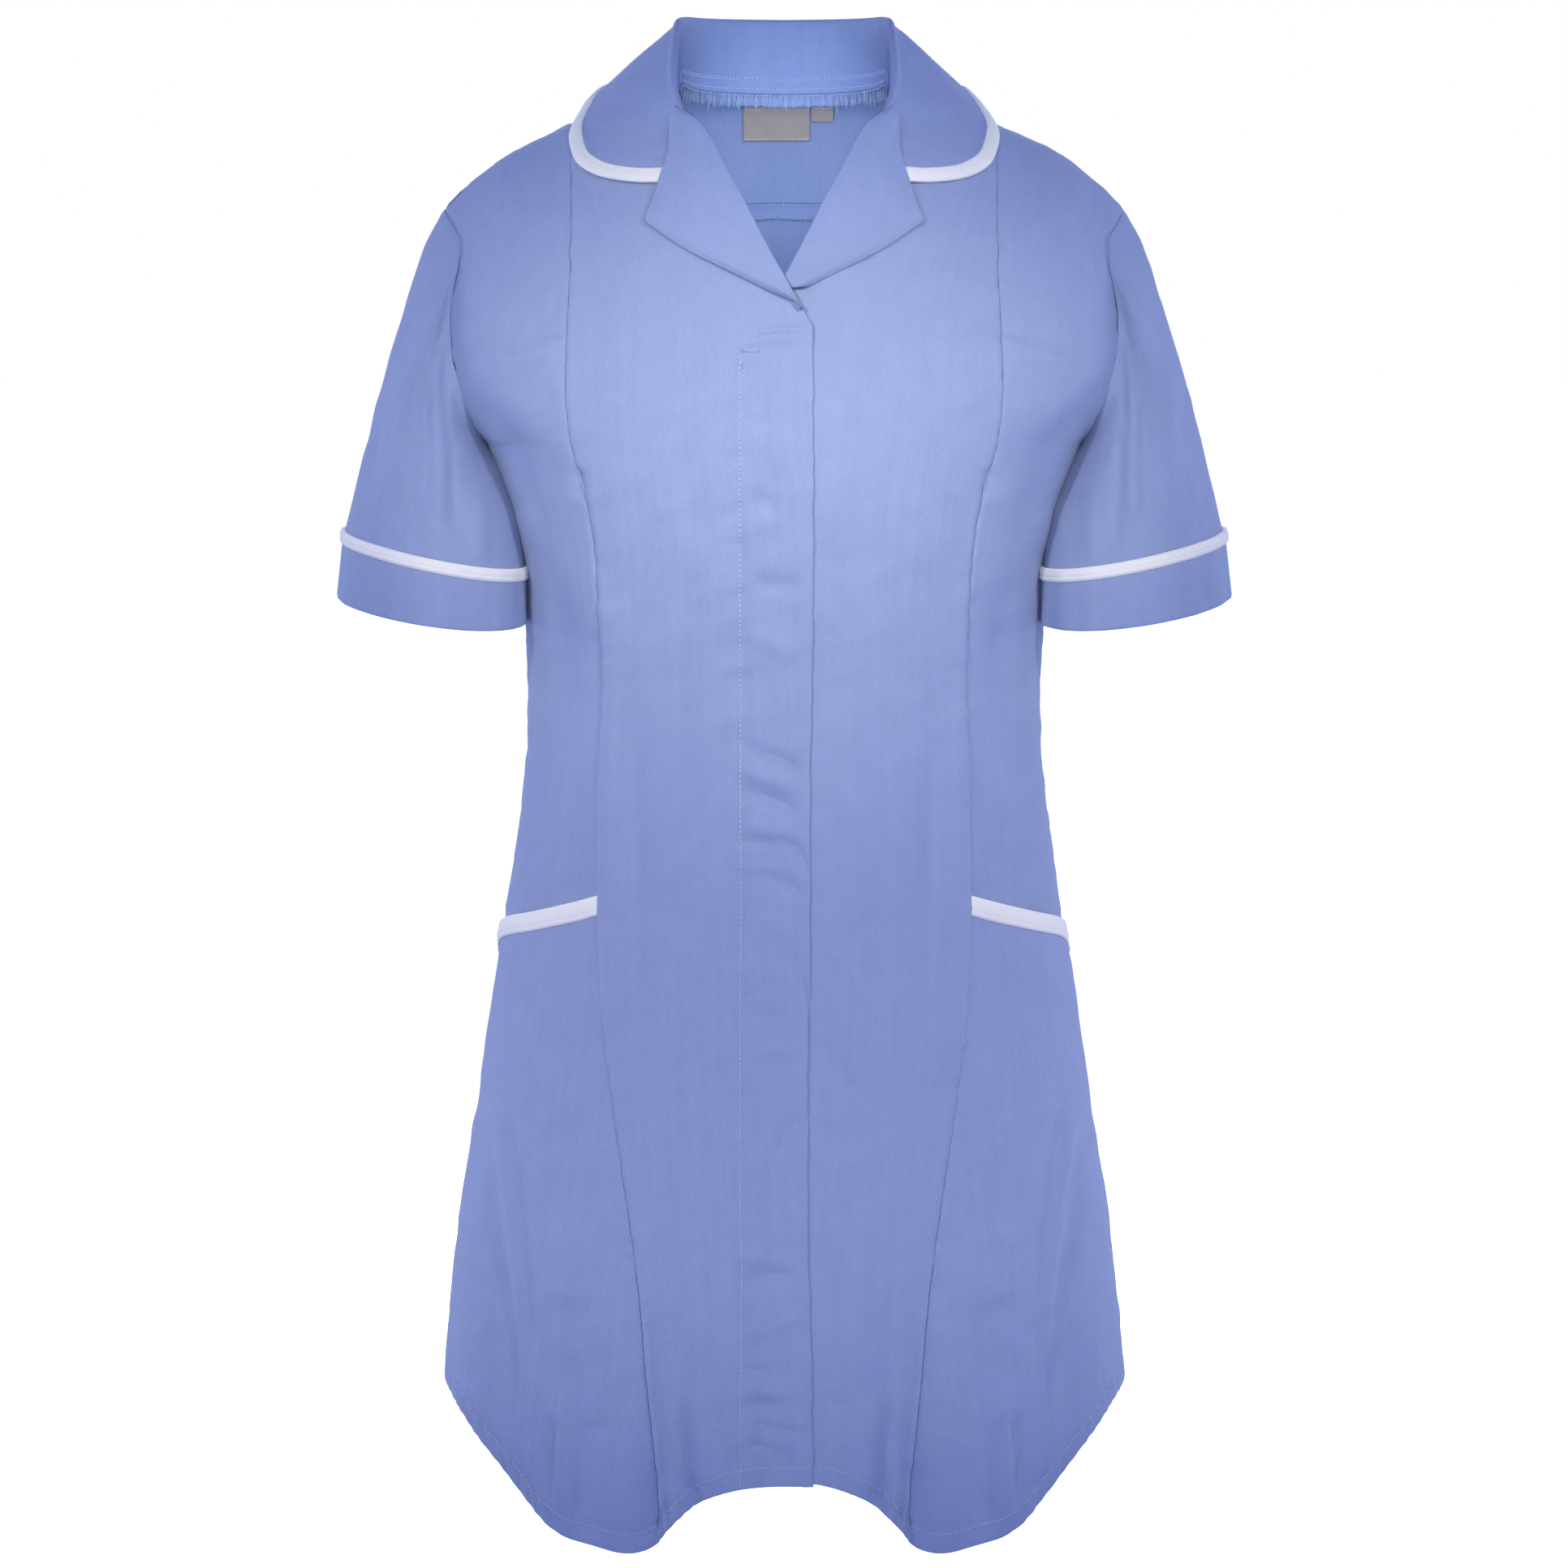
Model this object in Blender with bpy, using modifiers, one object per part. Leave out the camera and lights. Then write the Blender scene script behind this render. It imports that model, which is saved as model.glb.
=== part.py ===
"""Maternity tunic in pale blue twill with white binding.

The garment keeps the hollow form of a worn one. Its origin is on the centre plane, at the
level where the shoulders meet the neck. +Z is up and the front faces -Y. The wearer's right
is -X. Lengths are in metres.
"""

import math

import bpy
import numpy as np

# Cloth
WALL = 0.0013
BAND_WALL = 0.0010
SEAM = 0.0003
ARMHOLE_GAP = 0.0006
LABEL_GAP = 0.0012

# Sewing sizes
CUFF_BINDING = 0.0062
POCKET_BINDING = 0.0100
COLLAR_BINDING = 0.0086
BINDING_OVER = 0.0006
FRONT_LAP = 0.0220
LAP_DROP = 0.0030
LAP_BLEND = 0.0260
LAP_ABOVE = 0.0100
LAP_OPENING = 0.0200
LEFT_HEM_RISE = 0.0030
PIN = 0.0015

# Seam gap added where the hem flares, and the length over which it opens
FLARE_GAP = 0.0003
FLARE_GAP_LENGTH = 0.080

# Side front behind the pocket: start above the mouth, blend, depth and more at mid width
BAG_START = 0.0200
BAG_BLEND = 0.0240
BAG_DEPTH = 0.0019
BAG_MORE = 0.0006

# Pocket bulge, and how far it leans to the side
POCKET_BULGE = 0.0034
POCKET_LEAN = 1.6

# Lapel: gap to the front, bulge, and two lifts (level, blend, height) over the collar's end
LAPEL_GAP = 0.0009
LAPEL_BULGE = 0.0016
LAPEL_LIFTS = ((-0.092, 0.024, 0.0046), (-0.045, 0.018, 0.0030))
LAPEL_TOP = -0.0215
LAPEL_BOTTOM = -0.1375
LEFT_LAPEL_BOTTOM = -0.1230

# Shoulder rounding, front and back, and the neck opening
ROUND_FRONT = 0.120
ROUND_BACK = 0.080
NECK_HALF = 0.0640
SHOULDER_HALF = 0.1970

# Levels
LEVEL_TOP = -0.100
UNDERARM = -0.212
MOUTH_IN = -0.4702
MOUTH_LEVEL = -0.530
FLARE_LEVEL = -0.620
BAG_BOTTOM = -0.752

# Torso rings: level, half width, front depth, back depth, power of the superellipse
TORSO = np.array((
    (0.060, 0.2060, 0.0850, 0.1000, 2.30),
    (-0.020, 0.2060, 0.0850, 0.1000, 2.30),
    (-0.060, 0.2060, 0.0885, 0.1010, 2.30),
    (-0.100, 0.2060, 0.0980, 0.1030, 2.30),
    (-0.143, 0.2060, 0.1075, 0.1050, 2.30),
    (-0.168, 0.2035, 0.1130, 0.1055, 2.30),
    (-0.186, 0.1960, 0.1165, 0.1050, 2.30),
    (-0.200, 0.1845, 0.1185, 0.1040, 2.30),
    (-0.212, 0.1735, 0.1200, 0.1030, 2.30),
    (-0.232, 0.1635, 0.1205, 0.1005, 2.30),
    (-0.263, 0.1540, 0.1185, 0.0965, 2.30),
    (-0.302, 0.1487, 0.1135, 0.0915, 2.28),
    (-0.352, 0.1471, 0.1060, 0.0890, 2.25),
    (-0.409, 0.1521, 0.1030, 0.0920, 2.22),
    (-0.467, 0.1599, 0.1045, 0.1000, 2.20),
    (-0.524, 0.1682, 0.1075, 0.1080, 2.18),
    (-0.601, 0.1802, 0.1120, 0.1150, 2.16),
    (-0.698, 0.1945, 0.1170, 0.1210, 2.14),
    (-0.761, 0.1999, 0.1200, 0.1240, 2.12),
    (-0.880, 0.2080, 0.1230, 0.1270, 2.10),
))

# Shoulder ridge: distance from the centre, height
SHOULDER = np.array((
    (0.000, 0.0220),
    (0.030, 0.0180),
    (0.055, 0.0078),
    (0.066, 0.0010),
    (0.080, -0.0060),
    (0.100, -0.0160),
    (0.117, -0.0245),
    (0.138, -0.0340),
    (0.159, -0.0440),
    (0.175, -0.0555),
    (0.188, -0.0665),
    (0.198, -0.0778),
    (0.215, -0.1000),
))

# Princess seam: level, distance from the centre
PRINCESS = np.array((
    (0.020, 0.1225),
    (-0.040, 0.1225),
    (-0.097, 0.1215),
    (-0.148, 0.1235),
    (-0.180, 0.1243),
    (-0.207, 0.1218),
    (-0.230, 0.1160),
    (-0.258, 0.1098),
    (-0.295, 0.1062),
    (-0.352, 0.1042),
    (-0.422, 0.1053),
    (-0.470, 0.1060),
    (-0.514, 0.1048),
    (-0.560, 0.1015),
    (-0.607, 0.0959),
    (-0.653, 0.0889),
    (-0.699, 0.0828),
    (-0.745, 0.0786),
    (-0.791, 0.0744),
    (-0.860, 0.0700),
))

# Armhole seam: level, distance from the centre
ARMHOLE = np.array((
    (0.060, 0.1970),
    (-0.0765, 0.1970),
    (-0.085, 0.1925),
    (-0.096, 0.1868),
    (-0.107, 0.1872),
    (-0.1175, 0.1895),
    (-0.138, 0.1925),
    (-0.157, 0.1918),
    (-0.172, 0.1885),
    (-0.186, 0.1845),
    (-0.200, 0.1788),
    (-0.208, 0.1752),
    (-0.212, 0.1735),
))

# Roll line of a lapel: level, distance past the centre towards its own side
ROLL = np.array((
    (0.010, 0.0640),
    (-0.006, 0.0638),
    (-0.020, 0.0595),
    (-0.034, 0.0445),
    (-0.058, 0.0281),
    (-0.083, 0.0143),
    (-0.108, 0.0005),
    (-0.129, -0.0090),
    (-0.143, -0.0156),
))

# Outer edge of a lapel: level, distance from the centre
LAPEL = np.array((
    (-0.0200, 0.0615),
    (-0.0460, 0.0639),
    (-0.0610, 0.0689),
    (-0.0760, 0.0735),
    (-0.0850, 0.0775),
    (-0.0900, 0.0710),
    (-0.1014, 0.0533),
    (-0.1128, 0.0303),
    (-0.1242, 0.0073),
    (-0.1324, -0.0087),
    (-0.1379, -0.0110),
))

# Front edge of the upper front: level, place past the centre
EDGE = np.array((
    (-0.143, 0.0156),
    (-0.234, 0.0160),
    (-0.326, 0.0156),
    (-0.419, 0.0143),
    (-0.511, 0.0143),
    (-0.558, 0.0130),
    (-0.651, 0.0130),
    (-0.744, 0.0153),
    (-0.860, 0.0163),
))

# Hem of the front and of the back: distance from the centre, level
HEM_FRONT = np.array((
    (-0.0300, -0.8046),
    (0.0000, -0.8046),
    (0.0167, -0.8054),
    (0.0283, -0.8073),
    (0.0400, -0.8110),
    (0.0517, -0.8168),
    (0.0610, -0.8250),
    (0.0690, -0.8335),
    (0.0740, -0.8402),
    (0.0800, -0.8430),
    (0.0870, -0.8440),
    (0.1075, -0.8412),
    (0.1241, -0.8400),
    (0.1356, -0.8345),
    (0.1535, -0.8165),
    (0.1682, -0.7955),
    (0.1838, -0.7742),
    (0.1928, -0.7652),
    (0.1986, -0.7605),
    (0.2010, -0.7585),
))
HEM_BACK = np.array((
    (0.0000, -0.8170),
    (0.0600, -0.8175),
    (0.1100, -0.8155),
    (0.1500, -0.7995),
    (0.1800, -0.7760),
    (0.1928, -0.7665),
    (0.1986, -0.7607),
    (0.2010, -0.7585),
))

# Pocket mouth: share of the way from the princess seam to the side seam, level
MOUTH = np.array((
    (0.00, -0.4702),
    (0.20, -0.4765),
    (0.45, -0.4830),
    (0.70, -0.4885),
    (0.85, -0.4935),
    (1.00, -0.5030),
))

# Soft folds: top place, top level, low place, low level, half width, height
FRONT_FOLDS = (
    (0.096, -0.600, 0.094, -0.850, 0.022, 0.0090),
    (0.072, -0.600, 0.060, -0.850, 0.014, -0.0110),
    (0.158, -0.560, 0.152, -0.850, 0.014, -0.0045),
    (0.128, -0.690, 0.126, -0.850, 0.013, -0.0040),
    (0.182, -0.600, 0.178, -0.800, 0.010, 0.0025),
)
BACK_FOLDS = (
    (0.000, -0.500, 0.000, -0.850, 0.022, 0.0060),
    (0.050, -0.450, 0.060, -0.850, 0.020, -0.0070),
    (0.095, -0.420, 0.110, -0.850, 0.022, 0.0070),
    (0.140, -0.520, 0.155, -0.850, 0.016, -0.0050),
)

# Back neckline: distance from the centre, depth at which it is cut
BACK_NECK = np.array((
    (0.0000, 0.0724),
    (0.0180, 0.0710),
    (0.0262, 0.0688),
    (0.0365, 0.0636),
    (0.0457, 0.0563),
    (0.0523, 0.0474),
    (0.0573, 0.0374),
    (0.0610, 0.0265),
    (0.0633, 0.0155),
    (0.0640, 0.0000),
))
YOKE_CENTRE = -0.077
YOKE_SIDE = -0.108
NECK_SHARE = 0.40

# Collar stations, from the centre back to the front end: foot of the stand, roll and edge
COLLAR = np.array((
    (0.0000, 0.0695, -0.0095, 0.0000, 0.0690, 0.0355, 0.0000, 0.1010, -0.0310),
    (0.0250, 0.0660, -0.0090, 0.0245, 0.0655, 0.0357, 0.0400, 0.0985, -0.0295),
    (0.0440, 0.0540, -0.0080, 0.0425, 0.0540, 0.0358, 0.0740, 0.0830, -0.0235),
    (0.0550, 0.0360, -0.0065, 0.0530, 0.0370, 0.0360, 0.0965, 0.0520, -0.0140),
    (0.0596, 0.0150, -0.0045, 0.0580, 0.0170, 0.0345, 0.1080, 0.0210, -0.0098),
    (0.0600, -0.0030, -0.0050, 0.0595, -0.0010, 0.0265, 0.1185, -0.0060, -0.0215),
    (0.0602, -0.0200, -0.0080, 0.0605, -0.0190, 0.0150, 0.1232, -0.0290, -0.0345),
    (0.0602, -0.0350, -0.0150, 0.0612, -0.0350, 0.0015, 0.1190, -0.0470, -0.0490),
    (0.0592, -0.0425, -0.0180, 0.0606, -0.0455, -0.0080, 0.1020, -0.0590, -0.0588),
    (0.0565, -0.0465, -0.0205, 0.0598, -0.0525, -0.0145, 0.0800, -0.0670, -0.0612),
    (0.0528, -0.0475, -0.0222, 0.0580, -0.0570, -0.0190, 0.0560, -0.0720, -0.0608),
))
COLLAR_CLEAR = 0.0030
STAND_CLEAR = 0.0030
ROLL_WIDTH = 0.0060
ROLL_DROP = 0.0042
FALL_BEND = (0.0100, 0.0078)
COLLAR_FLAT = 0.65

# Sleeve: the ring under the binding and the ring at the bottom of the cuff
SLEEVE_RING = {"outer": (0.2540, -0.2620), "inner": (0.1532, -0.2840), "depth": 0.0540,
               "tilt": 0.0040, "forward": 0.0260}
CUFF_RING = {"outer": (0.2580, -0.2985), "inner": (0.1530, -0.3150), "depth": 0.0550,
             "tilt": 0.0065, "forward": 0.0290}
SLEEVE_LEAVES = {"outer": (0.50, -0.04, -0.86), "front": (0.42, -0.40, -0.82),
                 "inner": (-0.43, 0.00, -0.90), "back": (0.42, 0.40, -0.82)}
LEAVE_REACH = 0.60

# Labels inside the yoke: left edge, right edge, top, bottom
NECK_LABEL = (-0.0247, 0.0157, -0.0150, -0.0350)
SIZE_TAB = (0.0166, 0.0298, -0.0150, -0.0235)

# Colours
BLUE = (0.375, 0.437, 0.735)
WHITE = (0.820, 0.830, 0.880)
GREY = (0.360, 0.350, 0.370)


def smooth(table, at, column=1):
    """Cubic curve through a table's rows, with no overshoot, read at its first column."""
    rows = table if table[0, 0] < table[-1, 0] else table[::-1]
    keys, values = rows[:, 0], rows[:, column]
    steps = np.diff(values) / np.diff(keys)
    turns = steps[:-1] * steps[1:] <= 0
    sums = np.where(turns, 1.0, steps[:-1] + steps[1:])
    middle = np.where(turns, 0.0, 2 * steps[:-1] * steps[1:] / sums)
    slopes = np.concatenate((steps[:1], middle, steps[-1:]))
    at = np.clip(at, keys[0], keys[-1])
    low = np.clip(np.searchsorted(keys, at, side="right") - 1, 0, len(keys) - 2)
    span = keys[low + 1] - keys[low]
    t = (at - keys[low]) / span
    start = (1 + 2 * t) * (1 - t) ** 2 * values[low] + t * (1 - t) ** 2 * span * slopes[low]
    end = t * t * (3 - 2 * t) * values[low + 1] - t * t * (1 - t) * span * slopes[low + 1]
    return start + end


def ease(t):
    t = np.clip(t, 0.0, 1.0)
    return t * t * (3 - 2 * t)


def angle_of(x, z):
    """Angle round the torso, from the centre plane, of the point at this x and level."""
    power = smooth(TORSO, z, 4)
    share = np.clip(np.abs(x) / smooth(TORSO, z), 0.0, 1.0)
    return np.sign(x) * np.arcsin(share ** (power / 2))


def bare_torso(side, angle, z):
    """Torso without folds: side is -1 on the front and +1 on the back."""
    power = smooth(TORSO, z, 4)
    depth = smooth(TORSO, z, 2 if side < 0 else 3)
    reach = ROUND_FRONT if side < 0 else ROUND_BACK
    sine, cosine = np.sin(angle), np.abs(np.cos(angle))
    x = smooth(TORSO, z) * np.sign(sine) * np.abs(sine) ** (2 / power)
    below = np.clip((smooth(SHOULDER, np.abs(x)) - z) / reach, 0.0, 1.0)
    y = side * depth * cosine ** (2 / power) * np.sqrt(1 - (1 - below) ** 2)
    return np.stack((x, y, z + 0 * x), axis=-1)


def unit(vectors):
    return vectors / np.maximum(np.linalg.norm(vectors, axis=-1, keepdims=True), 1e-12)


def torso_normal(side, angle, z):
    turn, drop = 0.01, 0.002
    angle = np.clip(angle, turn - math.pi / 2, math.pi / 2 - turn)
    across = bare_torso(side, angle + turn, z) - bare_torso(side, angle - turn, z)
    down = bare_torso(side, angle, z - drop) - bare_torso(side, angle, z)
    normal = unit(np.cross(down, across) * -side)
    edge = np.abs(np.cos(angle)) < 0.02
    normal[..., 1] = np.where(edge, 0.0, normal[..., 1])
    return unit(normal)


def fold_height(side, x, z):
    height = 0.0 * x
    for top_x, top, low_x, low, half, rise in FRONT_FOLDS if side < 0 else BACK_FOLDS:
        along = np.clip((top - z) / (top - low), 0.0, 1.2)
        middle = top_x + (low_x - top_x) * along
        height = height + rise * ease(along) * np.exp(-((np.abs(x) - middle) / half) ** 2)
    return height


def torso(side, angle, z, lift=0.0):
    """Outer face of the cloth on the torso, with its folds, moved out by lift."""
    points = bare_torso(side, angle, z)
    rise = fold_height(side, points[..., 0], z) + lift
    points = points + torso_normal(side, angle, z) * rise[..., None]
    points[..., 1] += side * SEAM / 2
    return points


def rows_between(top, bottom, shares):
    return top + (bottom - top) * np.asarray(shares)[:, None]


SHOULDER_SHARES = np.array((0.0, 0.07, 0.16, 0.30, 0.45, 0.62, 0.80)) ** 2
UPPER_LEVELS = np.linspace(LEVEL_TOP, UNDERARM, 7)
WAIST_LEVELS = np.linspace(UNDERARM, MOUTH_IN, 8)[1:]
POCKET_LEVELS = np.linspace(MOUTH_IN, MOUTH_LEVEL, 3)[1:]
LOWER_LEVELS = np.linspace(MOUTH_LEVEL, FLARE_LEVEL, 4)[1:]
FLARE_SHARES = np.linspace(0.0, 1.0, 8)[1:]
POCKET_SHARES = (0.0, 0.045, 0.11, 0.20, 0.31, 0.43, 0.56, 0.70, 0.85, 1.0)


def level_rows(levels, columns):
    return np.repeat(np.asarray(levels)[:, None], columns, axis=1)


def seam_half_gap(z):
    """Half of the gap at the princess seam, a little wider where the hem flares."""
    return SEAM / 2 + FLARE_GAP * ease((FLARE_LEVEL - z) / FLARE_GAP_LENGTH)


def seam_angle(z, share):
    """Angle at a share of the way from the princess seam to the armhole or side seam."""
    inner = angle_of(smooth(PRINCESS, z) + seam_half_gap(z), z)
    outer = np.where(z > UNDERARM, angle_of(smooth(ARMHOLE, z), z), math.pi / 2)
    return inner + (outer - inner) * share


def hem_under(place, hem, columns):
    """Level of the hem for each column, whose place across depends on its level."""
    z = np.full(columns, hem[0, 1])
    for _ in range(6):
        z = smooth(hem, place(z))
    return z


def side_front_grid(share):
    """Levels and angles of the upper side front, one column for each share."""
    place = bare_torso(-1, seam_angle(0 * share, share), 0 * share)[:, 0]
    top = smooth(SHOULDER, place)
    z = np.concatenate((
        rows_between(top, LEVEL_TOP, SHOULDER_SHARES),
        level_rows(UPPER_LEVELS, len(share)),
        level_rows(WAIST_LEVELS, len(share)),
        level_rows(POCKET_LEVELS, len(share)),
        level_rows(LOWER_LEVELS, len(share)),
        level_rows(np.linspace(FLARE_LEVEL, BAG_BOTTOM, 6)[1:], len(share)),
    ))
    return z, seam_angle(z, share)


def side_front_lift(z, share):
    """The cloth dips behind the pocket, which takes its place from the mouth down."""
    behind = ease((smooth(MOUTH, share) + BAG_START - z) / BAG_BLEND)
    return -behind * (BAG_DEPTH + BAG_MORE * np.sin(math.pi * share))


def pocket_lift(share):
    """The pocket stands proud towards the side and closes at both of its seams."""
    return POCKET_BULGE * np.sin(math.pi * share ** POCKET_LEAN)


def pocket_grid(share):
    top = smooth(MOUTH, share)
    bottom = hem_under(lambda z: bare_torso(-1, seam_angle(z, share), z)[:, 0], HEM_FRONT,
                       len(share))
    z = np.concatenate((
        rows_between(top, MOUTH_LEVEL, (0.0, 0.5)),
        level_rows([MOUTH_LEVEL], len(share)),
        level_rows(LOWER_LEVELS, len(share)),
        rows_between(np.full_like(share, FLARE_LEVEL), bottom, FLARE_SHARES),
    ))
    return z, seam_angle(z, share)


def front_place(z, share, own_edge):
    """Distance from the centre, on the panel's own side, between its seam and its edge."""
    seam = smooth(PRINCESS, z) - seam_half_gap(z)
    return seam + (own_edge(z) - seam) * share


def right_edge(z):
    return np.where(z > ROLL[-1, 0], smooth(ROLL, z), -smooth(EDGE, z))


def left_edge(z):
    past = -FRONT_LAP * ease((ROLL[-1, 0] + LAP_ABOVE - z) / LAP_OPENING)
    return np.where(z > ROLL[-1, 0], smooth(ROLL, z), np.minimum(ROLL[-1, 1], past))


def front_grid(share, own_edge, hem_rise=0.0):
    """Levels of a centre front, and each point's distance from the centre."""
    x = smooth(PRINCESS, 0.0 * share)
    x = x + (NECK_HALF - x) * share
    top = smooth(SHOULDER, x)
    bottom = hem_under(lambda z: front_place(z, share, own_edge), HEM_FRONT, len(share))
    bottom = bottom + hem_rise * ease(share)
    z = np.concatenate((
        rows_between(top, LEVEL_TOP, SHOULDER_SHARES),
        level_rows(UPPER_LEVELS, len(share)),
        level_rows(WAIST_LEVELS, len(share)),
        level_rows(POCKET_LEVELS, len(share)),
        level_rows(LOWER_LEVELS, len(share)),
        rows_between(np.full_like(share, FLARE_LEVEL), bottom, FLARE_SHARES),
    ))
    return z, front_place(z, share, own_edge)


def lap_lift(z, distance):
    """The under front sinks behind the upper one where the two lap."""
    upper = -right_edge(z)
    return -LAP_DROP * ease((upper + LAP_BLEND - distance) / LAP_BLEND)


def lapel_lift(z, share):
    """A lapel lies over the collar's end at its top and on the front lower down."""
    lift = WALL + LAPEL_GAP + LAPEL_BULGE * np.sin(math.pi * share)
    for level, blend, height in LAPEL_LIFTS:
        lift = lift + height * ease((z - level) / blend)
    return lift


def lapel_grid(levels, share, inner):
    z = level_rows(levels, len(share))
    outer = smooth(LAPEL, z)
    inner = np.minimum(inner(z), outer - 0.0015)
    return z, outer + (inner - outer) * share


def left_lapel_inner(z):
    """The left lapel stops where the right front's roll line crosses it."""
    return np.maximum(smooth(ROLL, z), -smooth(ROLL, z) + PIN)


def back_angle(z, share):
    """Angle at a share of the way from the centre back to the armhole or side seam."""
    reach = np.where(z > UNDERARM, angle_of(smooth(ARMHOLE, z), z), math.pi / 2)
    return reach * share


def yoke_seam(share):
    return YOKE_CENTRE + (YOKE_SIDE - YOKE_CENTRE) * ease(np.abs(share))


def yoke_grid(share):
    """Yoke from the shoulder ridge and the back neckline down to its seam."""
    across = np.abs(share)
    turn = np.sin(np.clip(across / NECK_SHARE, 0.0, 1.0) * math.pi / 2)
    past = np.clip((across - NECK_SHARE) / (1 - NECK_SHARE), 0.0, 1.0)
    top_x = NECK_HALF * turn + (SHOULDER_HALF - NECK_HALF) * past
    depth = np.where(past > 0, 0.0, smooth(BACK_NECK, top_x))
    ridge = smooth(SHOULDER, top_x)
    full = smooth(TORSO, ridge, 3) * np.cos(angle_of(top_x, ridge)) ** (2 / TORSO[0, 4])
    drop = ROUND_BACK * (1 - np.sqrt(1 - np.clip(depth / full, 0.0, 1.0) ** 2))
    low = yoke_seam(share) + SEAM
    low_x = np.abs(bare_torso(1, back_angle(low, share), low)[:, 0])
    shares = np.concatenate((SHOULDER_SHARES, (1.0,)))
    x = top_x + (low_x - top_x) * ease(np.linspace(0.0, 1.0, len(shares)))[:, None]
    z = smooth(SHOULDER, x) - rows_between(drop, smooth(SHOULDER, low_x) - low, shares)
    side = across >= 1.0
    z = np.where(side, rows_between(ridge, low, shares), z)
    x = np.where(side, smooth(ARMHOLE, z), x)
    return z, angle_of(x * np.sign(share), z)


def back_grid(share):
    bottom = hem_under(lambda z: bare_torso(1, back_angle(z, np.abs(share)), z)[:, 0],
                       HEM_BACK, len(share))
    z = np.concatenate((
        rows_between(yoke_seam(share) - SEAM, UPPER_LEVELS[2], (0.0, 0.5)),
        level_rows(UPPER_LEVELS[2:], len(share)),
        level_rows(WAIST_LEVELS, len(share)),
        level_rows(POCKET_LEVELS, len(share)),
        level_rows(LOWER_LEVELS, len(share)),
        rows_between(np.full_like(share, FLARE_LEVEL), bottom, FLARE_SHARES),
    ))
    return z, back_angle(z, share)


def ring_point(ring, turn):
    """Point of a sleeve's ring: turn is 0 outside, a quarter in front and a half inside."""
    outer, inner = np.array(ring["outer"]), np.array(ring["inner"])
    middle, reach = (outer + inner) / 2, (outer - inner) / 2
    cosine, sine = np.cos(turn), np.sin(turn)
    x = middle[0] + reach[0] * cosine
    y = -ring["forward"] - ring["depth"] * sine
    z = middle[1] + reach[1] * cosine - ring["tilt"] * sine
    return np.stack((x, y, z), axis=-1)


def armhole_loop():
    """Points of the armhole on the wearer's left, down its front and up its back."""
    front_z, front_angle = side_front_grid(np.array((1.0,)))
    keep = front_z[:, 0] >= UNDERARM - 1e-9
    front = torso(-1, front_angle[keep, 0], front_z[keep, 0])
    yoke_z, yoke_angle = yoke_grid(np.array((1.0,)))
    upper = torso(1, yoke_angle[:, 0], yoke_z[:, 0])
    back_z, panel_angle = back_grid(np.array((1.0,)))
    keep = back_z[:, 0] >= UNDERARM - 1e-9
    lower = torso(1, panel_angle[keep, 0], back_z[keep, 0])
    back = np.concatenate((upper, lower[1:]))[::-1]
    return np.concatenate((front[:-1], back[:-1]))


def loop_turns(loop):
    """Turn of each armhole point round the sleeve, by its share of the seam's length."""
    bottom = int(np.argmin(loop[:, 2]))
    steps = np.linalg.norm(np.diff(np.concatenate((loop, loop[:1])), axis=0), axis=1)
    length = np.concatenate(((0.0,), np.cumsum(steps)))
    front = math.pi * length[:bottom + 1] / length[bottom]
    behind = (length[bottom + 1:-1] - length[bottom]) / (length[-1] - length[bottom])
    return np.concatenate((front, math.pi * (1 + behind)))


def leaving(turn):
    """Direction in which the sleeve's cloth leaves the armhole seam."""
    names = ("outer", "front", "inner", "back", "outer")
    corners = np.array([SLEEVE_LEAVES[name] for name in names])
    keys = np.arange(5) * math.pi / 2
    parts = [np.interp(turn, keys, corners[:, axis]) for axis in range(3)]
    return unit(np.stack(parts, axis=-1))


def sleeve_rows(shares, cuff_shares):
    """Rings of the sleeve on the wearer's left, from the armhole to the cuff's bottom."""
    loop = armhole_loop()
    turn = loop_turns(loop)
    start = loop + np.array((ARMHOLE_GAP, 0.0, 0.0))
    end, last = ring_point(SLEEVE_RING, turn), ring_point(CUFF_RING, turn)
    reach = np.linalg.norm(end - start, axis=1, keepdims=True) / 3
    first = start + leaving(turn) * reach * LEAVE_REACH
    second = end - unit(unit(last - end) + unit(end - start)) * reach
    t = np.asarray(shares)[:, None, None]
    tube = (start * (1 - t) ** 3 + 3 * first * t * (1 - t) ** 2
            + 3 * second * t * t * (1 - t) + end * t ** 3)
    w = np.asarray(cuff_shares)[:, None, None]
    return np.concatenate((tube, end + (last - end) * w))


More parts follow.
